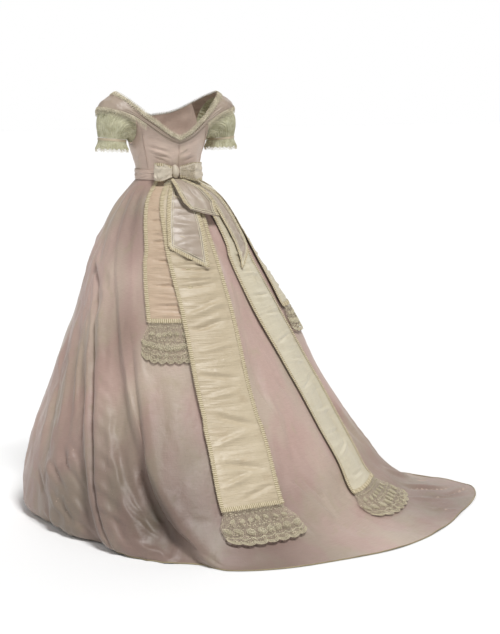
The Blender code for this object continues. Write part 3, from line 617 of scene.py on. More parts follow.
def shell(name, outer, thickness, material, lining=None, ring=False, texture=None, floor=False):
    """Thin closed cloth: its face, its back, and the edges between them."""
    columns, rows = outer.shape[:2]
    inner = outer - face_normals(outer, ring) * thickness
    if floor:
        outer[..., 2] = np.maximum(outer[..., 2], FLOOR + thickness + 0.0002)
        inner[..., 2] = np.maximum(inner[..., 2], FLOOR + 0.0002)
    i = np.arange(columns if ring else columns - 1)
    k = (i + 1) % columns
    j = np.arange(rows - 1)
    size = columns * rows

    def place(a, b):
        return (a[:, None] * rows + b[None, :]).ravel()

    face = np.stack([place(i, j), place(i, j + 1), place(k, j + 1), place(k, j)], axis=-1)
    i0, k0, last = i * rows, k * rows, rows - 1
    upper = np.stack([k0, k0 + size, i0 + size, i0], axis=-1)
    lower = np.stack([i0 + last, i0 + last + size, k0 + last + size, k0 + last], axis=-1)
    parts = [face, face[:, ::-1] + size, upper, lower]
    if not ring:
        end = (columns - 1) * rows
        parts.append(np.stack([j, j + size, j + 1 + size, j + 1], axis=-1))
        parts.append(np.stack([end + j, end + j + 1, end + j + 1 + size, end + j + size], axis=-1))
    faces = np.concatenate(parts)
    kinds = np.zeros(len(faces), int)
    kinds[len(face):2 * len(face)] = 0 if lining is None else 1
    if texture is not None:
        texture = np.concatenate([texture.reshape(-1, 2)] * 2)
    points = np.concatenate([outer.reshape(-1, 3), inner.reshape(-1, 3)])
    return mesh_piece(name, points, faces, material, texture, [lining] if lining else [], kinds)


def joined(name, parts, material):
    """One piece from several sets of points and faces."""
    points, faces, start = [], [], 0
    for some_points, some_faces in parts:
        points.append(some_points)
        faces.append(np.asarray(some_faces) + start)
        start += len(some_points)
    piece = mesh_piece(name, np.concatenate(points), np.concatenate(faces), material)
    return piece


def evened(path, step, *others):
    """A path and what goes with it, at even steps along its length, with the length reached."""
    reached = np.concatenate([[0.0], np.cumsum(np.linalg.norm(np.diff(path, axis=0), axis=-1))])
    along = np.linspace(0.0, reached[-1], max(8, int(reached[-1] / step)))
    spread = [np.stack([np.interp(along, reached, values[:, c]) for c in range(3)], axis=-1)
              for values in (path, *others)]
    return along, spread


def braid_grid(path, side, up, width, pitch, height, inset=0.5, scallop=0.2, rows=4, base=0.0006,
               wander=0.0):
    """Points of a gathered trim along a path: ribs across it, and a scalloped outer edge."""
    along, (path, side, up) = evened(path, pitch / 4.0, side, up)
    side, up = unit(side), unit(up)
    phase = 2.0 * np.pi * along / pitch + wander * (np.sin(along * 61.0) + np.sin(along * 143.0 + 1.0))
    rib = 0.5 + 0.5 * np.cos(phase)
    share = np.linspace(0.0, 1.0, rows)
    reach = width * (share[None, :] * (1.0 + scallop * (rib[:, None] - 0.5)) - inset)
    high = base + height * rib[:, None] * np.sin(np.pi * np.clip(0.12 + 0.8 * share, 0, 1))[None, :]
    points = path[:, None] + side[:, None] * reach[..., None] + up[:, None] * high[..., None]
    return points, np.stack(np.broadcast_arrays(along[:, None], width * share[None, :]), axis=-1)


def tubes(paths, radius, sides=5, closed=False):
    """Round threads along several paths, as points and faces."""
    parts = []
    for path in paths:
        ahead = np.roll(path, -1, axis=0) - np.roll(path, 1, axis=0) if closed else np.gradient(path, axis=0)
        ahead = unit(ahead)
        across = unit(np.cross(ahead, np.array((0.12, 0.31, 0.94))))
        over = np.cross(ahead, across)
        turn = np.arange(sides) * 2.0 * np.pi / sides
        ring = across[:, None] * np.cos(turn)[None, :, None] + over[:, None] * np.sin(turn)[None, :, None]
        points = (path[:, None] + radius * ring).reshape(-1, 3)
        count = len(path)
        i = np.arange(count if closed else count - 1)[:, None]
        j = np.arange(sides)[None, :]
        k, m = (i + 1) % count, (j + 1) % sides
        faces = np.stack(np.broadcast_arrays(i * sides + j, i * sides + m, k * sides + m, k * sides + j),
                         axis=-1).reshape(-1, 4)
        parts.append((points, faces))
    return parts


def ridge(points, normals, path, wide, deep, beside=0.45, slope=1.0):
    """Heights of one crease along a path, with a fainter opposite one beside it, or a gentler first slope."""
    height = np.zeros(points.shape[:-1])
    near = ((points > path.min(axis=0) - 4 * wide) & (points < path.max(axis=0) + 4 * wide)).all(axis=-1)
    some, up = points[near], normals[near]
    best, reach, side = np.full(len(some), 9.0), np.zeros(len(some)), np.zeros(len(some))
    for step, (start, ahead) in enumerate(zip(path[:-1], np.diff(path, axis=0))):
        share = np.clip((some - start) @ ahead / (ahead @ ahead), 0.0, 1.0)
        off = some - start - share[:, None] * ahead
        away = np.linalg.norm(off, axis=-1)
        closer = away < best
        best = np.where(closer, away, best)
        reach = np.where(closer, (step + share) / (len(path) - 1.0), reach)
        side = np.where(closer, np.sign((np.cross(ahead, off) * up).sum(axis=-1)), side)
    across = best * side / wide
    gentle = np.where(across < 0.0, across / slope, across)
    profile = np.exp(-gentle ** 2) - beside * np.exp(-(across - 1.5) ** 2)
    height[near] = deep * profile * np.sin(np.pi * np.clip(reach, 0.02, 0.98)) ** 0.7
    return height


def creased(points, normals, surface, rows, narrow=1.0):
    """Heights of short creases, each from one place on the cloth to another."""
    total = np.zeros(points.shape[:-1])
    part = np.linspace(0.0, 1.0, 9)
    for from_u, from_v, to_u, to_v, wide, deep in zip(*vars(rows).values()):
        path = surface(from_u + (to_u - from_u) * part, from_v + (to_v - from_v) * part)
        total = total + ridge(points, normals, path, narrow * wide / 1000.0, deep / 1000.0)
    return total


def long_folds(points, normals):
    """Heights of the long folds of the skirt."""
    total = np.zeros(points.shape[:-1])
    for wide, deep, *way in LONG_FOLDS:
        hems, falls = np.array(way, float).T
        steps = np.linspace(0.0, len(way) - 1.0, 25)
        order = np.arange(len(way))
        path = skirt_form(np.interp(steps, order, hems), np.interp(steps, order, falls))
        slope = TROUGH_SLOPE if deep < 0.0 else 1.0
        total = total + ridge(points, normals, path, wide / 1000.0, deep / 1000.0, 0.0, slope)
    return total


def under_sashes(hem, fall):
    """1 on bare skirt, and 0 where a sash end or its lace lies on it."""
    bare = np.ones(np.shape(hem))
    for name, rows in SASHES.items():
        middle, half = curve(fall, rows.fall, rows.hem), curve(fall, rows.fall, rows.half)
        reach = half / metres_a_degree(middle, fall)
        beside = abs(wrapped(hem - middle)) / reach
        below = (fall - SASH_ENDS[name][1] - 0.01) / 0.03
        bare = np.minimum(bare, np.maximum(rise((beside - 1.02) / 0.25), rise(below)))
    return bare


def skirt_face(hem, fall):
    """The skirt's face with its gathers, creases and the crumple of old silk."""
    points = skirt_form(hem, fall, GATHER_DEPTH)
    normals = outward(skirt_form, hem, np.clip(fall, 0.004, 0.996), *SKIRT_NEAR)
    bare = under_sashes(hem, fall)
    free = rise((fall - 0.05) / 0.15)
    round_hem = np.mod(hem, 360.0)
    left = 1.0 - 0.80 * rise((round_hem - 156.0) / 14.0)
    calm = 1.0 - 0.65 * hump(round_hem, 178.0, 15.0)
    train = 1.0 + 1.2 * hump(round_hem, 246.0, 12.0)
    small = CRUMPLE * crumple(points * np.array((1.0, 1.0, 0.36)), 0.070, 4)
    large = SWELL * noise(points * np.array((1.0, 1.0, 0.28)), 0.15, 9)
    creases = calm * train * creased(points, normals, skirt_form, SKIRT_CREASES) + long_folds(points, normals)
    puckers = SEAM_PUCKER * seam_pucker(hem, fall)
    height = (small * left + large * calm + creases) * free + puckers
    return lifted(points, normals, height * (0.25 + 0.75 * bare))


def seam_pucker(hem, fall):
    """Small puckers beside the skirt's seams."""
    total = 0.0
    for start, _ in GORES[:-1]:
        away = abs(wrapped(hem - start)) * metres_a_degree(hem, fall)
        waves = 0.5 * np.sin(fall * 120.0 + 3.0 * np.sin(fall * 37.0)) - 1.2
        total = total + hump(away, 0.0, 0.012) * waves
    return total


def make_skirt(satin, lining):
    """Seven gores as fine cloth."""
    fine = np.linspace(GORES[0][0], GORES[-1][0], 3601)
    crowd = metres_a_degree(fine, np.full_like(fine, 0.85))
    more = 1.0
    for middle, spread, share in zip(*vars(CROWDS).values()):
        more = more + share * hump(fine, middle, spread)
    crowd = crowd * more
    for middle, lip in zip(FOLDS.hem, FOLDS.lip):
        x = wrapped(fine - middle + lip)
        crowd = crowd + 0.010 * hump(x, 0.0, 1.3 * lip)
    reached = np.concatenate([[0.0], np.cumsum((crowd[1:] + crowd[:-1]) / 2.0)])
    share = reached / reached[-1]
    falls = np.linspace(0.0, 1.0, SKIRT_ROWS)
    falls = falls - 0.25 * np.sin(2.0 * np.pi * falls) / (2.0 * np.pi)
    for (start, name), (end, _) in zip(GORES[:-1], GORES[1:]):
        first, last = np.interp((start, end), fine, share)
        lines = np.interp(np.linspace(first, last, round((last - first) * SKIRT_COLUMNS) + 1), share, fine)
        hem, fall = grid(lines, falls)
        inset = SEAM_GAP / 2.0 / metres_a_degree(hem, fall)
        hem[0] += inset[0]
        hem[-1] -= inset[-1]
        width = (hem - start) * HEM_PATTERN
        piece = shell("satin_" + name, skirt_face(hem, fall), GOWN_SATIN, satin, lining,
                      texture=np.stack([width, fall * FALL_PATTERN], axis=-1), floor=True)
        replace(name)


def replace(node):
    """Stands a piece in for its solid by hiding the solid."""
    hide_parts(node)


def make_waistband(satin):
    """Two folded rolls of satin, with small drag lines."""
    def band(angle, height):
        share = height / BAND_HALF
        rolls = 1.0 - 0.35 * hump(share, 0.15, 0.16) - 0.25 * share ** 4
        rolls = rolls - 0.10 * hump(share, -0.55, 0.08) - 0.10 * hump(share, 0.7, 0.08)
        radius = oval(angle, WAIST_SIDE, WAIST_DEPTH, WAIST_DEPTH) + BAND_STANDS_OUT * rolls
        return around(angle, radius, height)

    angle, height = grid(np.arange(0.0, 360.0, 2.5), np.linspace(BAND_HALF, -BAND_HALF, 21))
    outer = band(angle, height)
    normals = face_normals(outer, True)
    tilt = outer * np.array((1.0, 1.0, 3.0))
    outer = lifted(outer, normals, 0.0006 * crumple(tilt, 0.035, 21) - 0.0004)
    piece = shell("satin_waistband", outer, 0.0030, satin, ring=True,
                  texture=np.stack([angle * 0.0018, height], axis=-1))
    replace("waistband")


def bodice_face(angle, height):
    """The bodice's face with the drag lines of a tight fit."""
    points = bodice_point(angle, height)
    normals = outward(bodice_point, angle, height, *BODICE_NEAR)
    creases = creased(points, normals, bodice_point, BODICE_CREASES)
    uneven = 0.0006 * noise(points, 0.035, 33)
    return lifted(points, normals, 1.7 * creases + uneven)


def make_bodice(satin, lining):
    front_seam, back_seam = SIDE_SEAMS
    pieces = (("bodice_front", -front_seam, front_seam), ("bodice_side_left", front_seam, back_seam),
              ("bodice_back_left", back_seam, 180.0), ("bodice_back_right", 180.0, 360.0 - back_seam),
              ("bodice_side_right", 360.0 - back_seam, 360.0 - front_seam))
    for name, start, end in pieces:
        angle, share = grid(np.linspace(start, end, round((end - start) * 0.8) + 1),
                                   np.linspace(1.0, 0.0, 49))
        bottom = BAND_HALF + SEAM_GAP
        height = bottom + (bodice_top(angle) - bottom) * share
        inset = np.degrees(SEAM_GAP / 2.0 / bodice_radius(angle, height))
        angle[0] += inset[0]
        angle[-1] -= inset[-1]
        piece = shell("satin_" + name, bodice_face(angle, height), GOWN_SATIN, satin, lining,
                      texture=np.stack([angle * 0.0019, height], axis=-1))
        replace(name)
    stitches = []
    for angle, low, high in SEAM_STITCHES:
        height = np.linspace(low, high, 60)
        path = bodice_face(np.full(60, angle), height)
        out = outward(bodice_point, np.full(60, angle), height, *BODICE_NEAR)
        stitches.append(path + out * 0.0004)
    joined("stitches_bodice", tubes(stitches, THREAD, 4), satin)


def bertha_face(angle, share):
    points = bertha_point(angle, share)
    normals = outward(bertha_point, angle, np.clip(share, 0.02, 0.98), *BERTHA_NEAR)
    apart = from_front(angle)
    over_shoulder = rise((curve(apart, BERTHA.angle, BERTHA.low_out) - 0.010) / 0.050)
    pleats = 0.0013 * (np.sin(2.0 * np.pi * 5.0 * share + 0.03 * apart) - 0.4) * (1.0 - over_shoulder)
    soft = 0.0009 * crumple(points, 0.040, 61) * (0.4 + over_shoulder)
    return lifted(points, normals, (pleats + soft) * np.sin(np.pi * np.clip(share, 0.0, 1.0)) ** 0.5)


def make_bertha(satin, lining):
    for side, start in (("left", 0.0), ("right", 180.0)):
        angle, share = grid(np.linspace(start, start + 180.0, 151), np.linspace(0.0, 1.0, 35))
        inset = np.degrees(SEAM_GAP / 2.0 / 0.11)
        angle[0] += inset
        angle[-1] -= inset
        piece = shell("satin_bertha_" + side, bertha_face(angle, share), SASH_SATIN, satin, lining,
                      texture=np.stack([angle * 0.0024, share * 0.05], axis=-1))
        replace("bertha_" + side)


def make_neck_ruche(lace, fringe):
    """Gathered lace round the neck and round the shoulder caps, with a spiky edge."""
    angle = np.linspace(0.0, 360.0, 721)
    for name, width, pitch, height, inset in NECK_LACE:
        top = bertha_face(angle, np.full_like(angle, 0.02))
        up = outward(bertha_point, angle, np.full_like(angle, 0.10), *BERTHA_NEAR)
        down = unit(bertha_point(angle, np.full_like(angle, 0.2)) - bertha_point(angle, np.zeros_like(angle)))
        side = -down if inset > 0.5 else down
        points, texture = braid_grid(top, side, up, width, pitch, height, inset, RUCHE_SCALLOP,
                                     RUCHE_ROWS, 0.0016, RUCHE_WANDER)
        shell("lace_" + name, points, NET, lace, texture=texture)
    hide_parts("neck_lace")
    for side, start in (("left", 52.0), ("right", 232.0)):
        angle = np.linspace(start, start + 76.0, 420)
        low = bertha_face(angle, np.full_like(angle, 0.985))
        up = outward(bertha_point, angle, np.full_like(angle, 0.94), *BERTHA_NEAR)
        edge, inside = (bertha_point(angle, np.full_like(angle, share)) for share in (0.98, 0.8))
        down = unit(edge - inside)
        points, texture = braid_grid(low, down, up, *CAP_LACE, RUCHE_SCALLOP, RUCHE_ROWS, 0.0012,
                                     RUCHE_WANDER)
        piece = shell("lace_cap_" + side, points, NET, lace, texture=texture)
        hanging = low[::4] + up[::4] * 0.0016
        drop = np.linspace(0.0, 0.017, 6)[:, None] * np.array((0.0, 0.0, -1.0))
        sway = 0.0016 * np.sin(angle[::4] * 2.3)[:, None, None] * np.linspace(0.0, 1.0, 6)[None, :, None] ** 2
        strands = hanging[:, None] + drop[None] + up[::4][:, None] * (0.001 + abs(sway))
        threads = joined("fringe_cap_" + side, tubes(strands, THREAD, 3), fringe)


def frill_station(turn, share):
    """Station on the sleeve of a share of the frill, whose edge is scalloped."""
    scallop = 1.0 - 0.16 * (0.5 + 0.5 * np.cos(np.radians(24.0 * turn)))
    return FRILL_START + (FRILL_END - FRILL_START) * share * scallop


def make_sleeves(tulle, ribbon, fringe):
    """Puffs with fine gathers, folded bands and scalloped frills."""
    turns = np.arange(0.0, 360.0, 1.5)
    for side, sign in (("left", 1.0), ("right", -1.0)):
        def puff_depth(s):
            return 0.0026 * np.sin(np.pi * np.clip(s, 0.0, 1.0))

        turn, station = grid(turns, np.linspace(0.0, 1.0, 29))
        outer = sleeve_surface(sign, puff_depth)(turn, station)
        normals = face_normals(outer, True)
        gathers = np.sin(np.radians(44.0 * turn) + 1.3 * np.sin(np.radians(7.0 * turn)) + 2.0 * station)
        outer = lifted(outer, normals, (0.0012 * gathers - 0.0005) * np.sin(np.pi * station) ** 0.4)
        piece = shell("tulle_puff_" + side, outer, NET, tulle, ring=True,
                      texture=np.stack([turn * 0.001, station * 0.07], axis=-1))
        replace("sleeve_puff_" + side)

        turn, station = grid(turns[::2], np.linspace(BAND_START, BAND_END, 11))
        outer = sleeve_surface(sign, lambda s: 0.0 * s)(turn, station)
        fold = 0.0007 * np.sin(2.0 * np.pi * 2.0 * (station - BAND_START) / (BAND_END - BAND_START))
        outer = lifted(outer, face_normals(outer, True), fold)
        piece = shell("satin_band_" + side, outer, BOW_SATIN, ribbon, ring=True,
                      texture=np.stack([turn * 0.001, station * 0.03], axis=-1))
        replace("sleeve_band_" + side)

        turn, share = grid(turns, np.linspace(0.0, 1.0, 15))
        station = frill_station(turn, share)
        outer = sleeve_surface(sign, lambda s: 0.0040 * rise(s - 1.2))(turn, station)
        waves = 0.0014 * np.sin(np.radians(36.0 * turn)) * share
        outer = lifted(outer, face_normals(outer, True), waves)
        piece = shell("tulle_frill_" + side, outer, NET, tulle, ring=True,
                      texture=np.stack([turn * 0.001, share * 0.03], axis=-1))
        rows = []
        for level, step in ((0.985, 3.0), (0.55, 4.0)):
            at = np.arange(0.0, 360.0, step)
            start = sleeve_surface(sign, lambda s: 0.0046 * rise(s - 1.2))(at, frill_station(at, level))
            drop = np.array((0.0, 0.0, -1.0)) * np.linspace(0.0, 0.009, 5)[:, None]
            bend = 0.0012 * np.sin(at * 1.7)[:, None, None] * (np.linspace(0, 1, 5) ** 2)[None, :, None]
            rows.extend(start[:, None] + drop[None] + bend * np.array((sign, 0.6, 0.0)))
        threads = joined("fringe_frill_" + side, tubes(rows, THREAD, 3), fringe)
        replace("sleeve_frill_" + side)


def sash_lift(rows, below, fall):
    seated = SASH_CLOTH + 0.0005 + PRESSED_LAYER * below
    return seated + (LAYER * (below + 1) + 0.0020) * rise((fall - rows.fall[0]) / 0.07)


def strip_point(rows, across, fall, lift):
    """Smooth strip over the skirt, -1 to 1 across its width."""
    middle, half = curve(fall, rows.fall, rows.hem), curve(fall, rows.fall, rows.half)
    return skirt_layer(middle + half / metres_a_degree(middle, fall) * across, fall, lift)


def on_strip(rows, below, extra=0.0):
    def point(across, fall):
        across, fall = np.broadcast_arrays(np.asarray(across, float), np.asarray(fall, float))
        return strip_point(rows, across, fall, sash_lift(rows, below, fall) + extra)
    return point


def off_cloth(path, inside):
    """The way up from the cloth along its edge, away from the body's axis."""
    up = np.cross(path - inside, np.gradient(path, axis=0))
    return up * np.sign((up * path * np.array((1.0, 1.0, 0.0))).sum(axis=-1))[:, None]


def border(path, inside, width, pitch=0.0045, height=0.0013, inset=0.6):
    """Ribbed braid along an edge, lying half on the cloth, its picots outside."""
    up = off_cloth(path, inside)
    return braid_grid(path, path - inside, up, width, pitch, height, inset, BRAID_SCALLOP)


def braids(name, grids, trim):
    """The braid pieces of one sash, loop or tail."""
    made = []
    for number, (points, texture) in enumerate(grids):
        piece = shell(f"braid_{name}_{number}", points, NET, trim, texture=texture)
        made.append(piece)
    return made


def make_sashes(satin, satins, lace, trim, work):
    for name, rows in SASHES.items():
        stop, lace_stop, below = SASH_ENDS[name]
        surface = on_strip(rows, below)
        start = rows.fall[0]
        length = (stop - start) * STRIP_LENGTH
        across, fall = grid(np.linspace(-1.0, 1.0, 25), np.linspace(start, stop, int(length / RUCHING_STEP)))
        points = surface(across, fall)
        normals = face_normals(points)
        ruching = creased(points, normals, surface, SASH_CREASES[name], 0.65)
        width = curve(fall, rows.fall, rows.half)
        edge = rise((1.0 - abs(across)) / 0.25)
        ribs = 0.0008 * (1.0 - edge) * np.sin(fall * 1250.0 + 4.0 * across)
        cross = 0.0009 * crumple(points * np.array((0.34, 0.34, 2.4)), 0.095, 70 + len(name)) * edge
        points = lifted(points, normals, 1.9 * ruching * edge + ribs + cross)
        piece = shell("satin_sash_" + name, points, SASH_SATIN, satins.get(name, satin),
                      texture=np.stack([across * width, fall * STRIP_LENGTH], axis=-1))
        falls = np.linspace(start, stop, 200)
        parts = []
        for side in (-0.985, 0.985):
            edge_line = surface(np.full_like(falls, side), falls)
            inside = surface(np.full_like(falls, side * 0.9), falls)
            parts.append(border(edge_line, inside, 0.0125, *SASH_BRAID))
        sides = np.linspace(-1.0, 1.0, 60)
        low = surface(sides, np.full_like(sides, stop - 0.003))
        above = surface(sides, np.full_like(sides, stop - 0.02))
        parts.append(border(low, above, 0.013, *SASH_BRAID))
        going = braids(name, parts, trim)
        replace("sash_" + name)
        make_lace_end(name, rows, below, stop, lace_stop, lace, work)


def make_lace_end(name, rows, below, stop, lace_stop, lace, thread):
    """Net with a deep scalloped border, flowers, rings and dots worked on it."""
    surface = on_strip(rows, below, 0.0)
    begin = stop + SEAM_GAP

    def place(across, down):
        scallop = 0.93 + 0.07 * abs(np.cos(3.5 * np.pi * across)) ** 0.6
        return begin + (lace_stop - begin) * down * scallop * (1.0 - 0.20 * across ** 4)

    def flared(across, down):
        return across * (1.0 + LACE_FLARE * rise(down * 1.6))

    across, down = grid(np.linspace(-1.0, 1.0, 71), np.linspace(0.0, 1.0, 25))
    fall = place(across, down)
    points = surface(flared(across, down), fall)
    normals = face_normals(points)
    points = lifted(points, normals, 0.0007 * noise(points, 0.03, 80) + 0.0008 * np.cos(across * 40.0) * down)
    half = curve(fall, rows.fall, rows.half)
    piece = shell("lace_end_" + name, points, LACE_NET, lace,
                  texture=np.stack([across * half, (fall - begin) * STRIP_LENGTH], axis=-1))

    def above(a, d, up=0.0011):
        a, d = np.asarray(a, float), np.asarray(d, float)
        return strip_point(rows, flared(a, d), place(a, d), sash_lift(rows, below, place(a, d)) + up)

    across_step, down_step = 1.0 / half.mean(), 1.0 / ((lace_stop - begin) * STRIP_LENGTH)
    lines, rings = [], []
    edge = np.linspace(-0.99, 0.99, 160)
    for level in LACE_LINES:
        lines.append(above(edge, np.full_like(edge, level)))
    turn = np.linspace(0.0, 2.0 * np.pi, 13)[:-1]
    for number, middle in enumerate(np.linspace(-0.86, 0.86, 8)):
        for level, size, petals in LACE_MOTIFS:
            shift = 0.06 * np.sin(5.0 * number + 9.0 * level)
            a0 = middle + (0.11 if level == 0.30 else 0.0) + shift * 0.5
            if abs(a0) > 0.93:
                continue
            for petal in range(petals):
                way = 2.0 * np.pi * petal / petals + number
                off = size * 0.62 if petals > 1 else 0.0
                radius = size * (0.42 if petals > 1 else 1.0)
                a = a0 + (off * np.cos(way) + radius * np.cos(turn)) * across_step
                d = level + shift * 0.4 + (off * np.sin(way) + radius * np.sin(turn)) * down_step
                rings.append(above(a, np.clip(d, 0.01, 0.985)))
    dots = []
    for a in np.linspace(-0.9, 0.9, 15):
        for d in (0.12, 0.45):
            at = a + (0.06 if d > 0.3 else 0.0)
            dots.append(above(at + LACE_DOT * np.cos(turn[::2]) * across_step,
                              d + LACE_DOT * np.sin(turn[::2]) * down_step))
    parts = tubes(lines, CORD, 4) + tubes(rings, 0.0009, 3, closed=True)
    parts = parts + tubes(dots, 0.0010, 3, closed=True)
    work = joined("lace_work_" + name, parts, thread)
    replace("lace_" + name)


def make_knot(satin):
    """Knot of the bow, pinched into folds."""
    turn, slope = grid(-np.arange(0.0, 360.0, 4.0), np.linspace(0.0, 88.0, 23))
    a, b = np.radians(turn), np.radians(slope)
    points = bow_point(KNOT_WIDE * np.cos(a) * np.cos(b), KNOT_RIM + KNOT_DOME * np.sin(b),
                       KNOT_TALL * np.sin(a) * np.cos(b))
    folds = 0.0011 * np.sin(260.0 * points[..., 0] + 70.0 * points[..., 2]) - 0.0012
    points = lifted(points, face_normals(points, True), folds * np.cos(b) ** 0.5)
    piece = shell("satin_knot", points, BOW_SATIN, satin, ring=True,
                  texture=np.stack([turn * 0.0003, slope * 0.0003], axis=-1))
    replace("bow_knot")


def loop_surface(sign, length):
    """Flat loop of the bow, by turn round it and place up its width (-1 to 1)."""
    def loop(turn, height):
        a = np.radians(turn)
        reach = 0.5 - 0.5 * np.cos(a)
        along = LOOP_ROOT + (length - LOOP_ROOT) * reach
        plump = 0.45 + 0.55 * rise(reach * 1.4)
        out = 0.0150 + 0.0110 * plump * np.sin(a)
        up = (0.016 + 0.010 * rise(reach * 1.5)) * height
        return bow_point(sign * along, out, up)
    return loop


def rim_braid(surface, level, turns):
    """Braid round a loop, near one of its edges."""
    path = surface(turns, np.full_like(turns, level))
    inside = surface(turns, np.full_like(turns, level * 0.8))
    up = np.cross(path - inside, np.gradient(path, axis=0))
    return braid_grid(path, path - inside, up, 0.0085, 0.0045, 0.0013, 0.6, BRAID_SCALLOP, 4, 0.0007)


def make_loops(satin, lace, trim):
    """Two flat loops with trimmed borders, lace lying over the right one."""
    for name, sign in (("left", -1.0), ("right", 1.0)):
        surface = loop_surface(sign, LOOP_LENGTHS[name])
        turn, height = grid(-sign * np.arange(0.0, 360.0, 3.0), np.linspace(1.0, -1.0, 29))
        points = surface(turn, height)
        reach = 0.5 - 0.5 * np.cos(np.radians(turn))
        folds = 0.0013 * np.sin(7.0 * height + 3.0 * reach) * (1.0 - 0.5 * reach)
        soft = 0.0009 * crumple(points, 0.022, 90)
        points = lifted(points, face_normals(points, True), (folds + soft) * (0.3 + reach))
        piece = shell("satin_loop_" + name, points, BOW_SATIN, satin, ring=True,
                      texture=np.stack([turn * 0.0004, height * 0.025], axis=-1))
        rims = [rim_braid(surface, level, np.linspace(8.0, 352.0, 240)) for level in (0.93, -0.93)]
        going = braids("loop_" + name, rims, trim)
        replace("bow_loop_" + name)
    surface = loop_surface(1.0, LOOP_LENGTHS["right"])
    turn, height = grid(np.linspace(24.0, 104.0, 50), np.linspace(0.86, -0.86, 40))
    points = surface(turn, height)
    normals = face_normals(points)
    outwards = np.array((np.sin(np.radians(BOW_ANGLE)), -np.cos(np.radians(BOW_ANGLE)), 0.0))
    normals = normals * np.sign(normals @ outwards)[..., None]
    points = lifted(points, normals, 0.0030 + 0.0006 * np.sin(points[..., 2] * 900.0))
    piece = shell("lace_loop_right", points, LACE_NET, lace,
                  texture=np.stack([turn * 0.0006, height * 0.022], axis=-1))


def make_low_loop(satin, trim, cord):
    """Loop that hangs between the tails, with a deep hollow and two rows of cord."""
    def surface(turn, across, extra=0.0):
        a = np.radians(turn)
        reach = 0.5 - 0.5 * np.cos(a)
        fall = LOW_LOOP_TOP + LOW_LOOP_DROP * reach + 0.012 * across * reach
        lift = 0.0125 + 0.0160 * rise(reach * 2.2) - 0.0065 * np.sin(a) + extra
        return strip_point(LOW_LOOP, across, fall, lift)

    turn, across = grid(np.arange(0.0, 360.0, 4.0), np.linspace(-1.0, 1.0, 45))
    reach = 0.5 - 0.5 * np.cos(np.radians(turn))
    front = np.maximum(-np.sin(np.radians(turn)), 0.0)
    hollow = -0.0055 * np.exp(-((across - 0.18) / 0.16) ** 2 - ((reach - 0.45) / 0.28) ** 2)
    ridges = 0.0022 * np.cos(11.0 * (across - 0.42)) * rise((across - 0.2) / 0.2)
    points = surface(turn, across, (hollow + ridges * reach) * front)
    points = lifted(points, face_normals(points, True), 0.0007 * crumple(points, 0.03, 95) * front)
    piece = shell("satin_loop_low", points, BOW_SATIN, satin, ring=True,
                  texture=np.stack([reach * 0.12, across * 0.04], axis=-1))
    parts = []
    turns = np.linspace(350.0, 195.0, 160)
    for level in (-0.94, 0.94):
        path = surface(turns, np.full_like(turns, level), 0.0006)
        inside = surface(turns, np.full_like(turns, level * 0.85), 0.0006)
        parts.append(border(path, inside, 0.011, height=0.0014))
    going = braids("loop_low", parts, trim)
    cords = []
    for level in (-0.80, -0.68, 0.70, 0.82):
        cords.append(surface(turns, np.full_like(turns, level), 0.0009))
    line = np.linspace(-0.95, 0.95, 60)
    for turn_at in (200.0, 212.0):
        cords.append(surface(np.full_like(line, turn_at), line, 0.0009))
    going.append(joined("piping_loop_low", tubes(cords, CORD, 5), cord))
    replace("bow_loop_low")


def make_tails(satin, trim, cord):
    """Two bow tails with slanting ends, edged with braid and two rows of cord."""
    for name, rows in TAILS.items():
        stop_left, stop_right, below = TAIL_ENDS[name]
        start = rows.fall[0]
        raised = on_strip(rows, below)

        def place(across, down):
            stop = stop_left + (stop_right - stop_left) * (across + 1.0) / 2.0
            return start + (stop - start) * down

        def surface(across, down):
            return raised(across, place(across, down))

        across, down = grid(np.linspace(-1.0, 1.0, 37), np.linspace(0.0, 1.0, 100))
        points = surface(across, down)
        normals = face_normals(points)
        heights = creased(points, normals, raised, TAIL_CREASES[name])
        soft = 0.0006 * crumple(points * np.array((0.6, 0.6, 2.0)), 0.05, 97)
        points = lifted(points, normals, (heights + soft) * rise((1.0 - abs(across)) / 0.3))
        half = curve(place(across, down), rows.fall, rows.half)
        piece = shell("satin_tail_" + name, points, BOW_SATIN, satin,
                      texture=np.stack([across * half, down * 0.25], axis=-1))
        cords = []
        downs = np.linspace(0.02, 0.985, 150)
        sides = np.linspace(-0.97, 0.97, 80)
        edges = [(surface(np.full_like(downs, s), downs), surface(np.full_like(downs, s * 0.85), downs))
                 for s in (-0.99, 0.99)]
        edges.append((surface(sides, np.full_like(sides, 0.985)), surface(sides, np.full_like(sides, 0.93))))
        going = braids("tail_" + name, [border(path, inside, 0.012) for path, inside in edges], trim)
        for path, inside in edges:
            for step in (0.0085, 0.0145):
                cords.append(path + unit(inside - path) * step + unit(off_cloth(path, inside)) * 0.0009)
        going.append(joined("piping_tail_" + name, tubes(cords, CORD, 5), cord))
        replace("bow_tail_" + name)


def make_tuft(lace):
    """Bunched lace under the knot, where the trims of the loops meet."""
    along = np.linspace(-0.040, 0.030, 60)
    rows = []
    for number, (out, up) in enumerate(((0.020, -0.026), (0.024, -0.032), (0.016, -0.038))):
        wave = 0.004 * np.sin(along * 190.0 + 2.0 * number)
        path = bow_point(along, out + 0.5 * wave, up + wave - 0.2 * abs(along))
        side = np.broadcast_to(np.array((0.0, 0.0, -1.0)), path.shape)
        up_way = np.cross(np.gradient(path, axis=0), side)
        rows.append(braid_grid(path, side, up_way, 0.010, 0.0052, 0.0022, 0.3, 0.6, 6, 0.0008)[0])
    for number, points in enumerate(rows):
        piece = shell(f"lace_tuft_{number}", points, NET, lace,
                      texture=np.zeros(points.shape[:2] + (2,)))


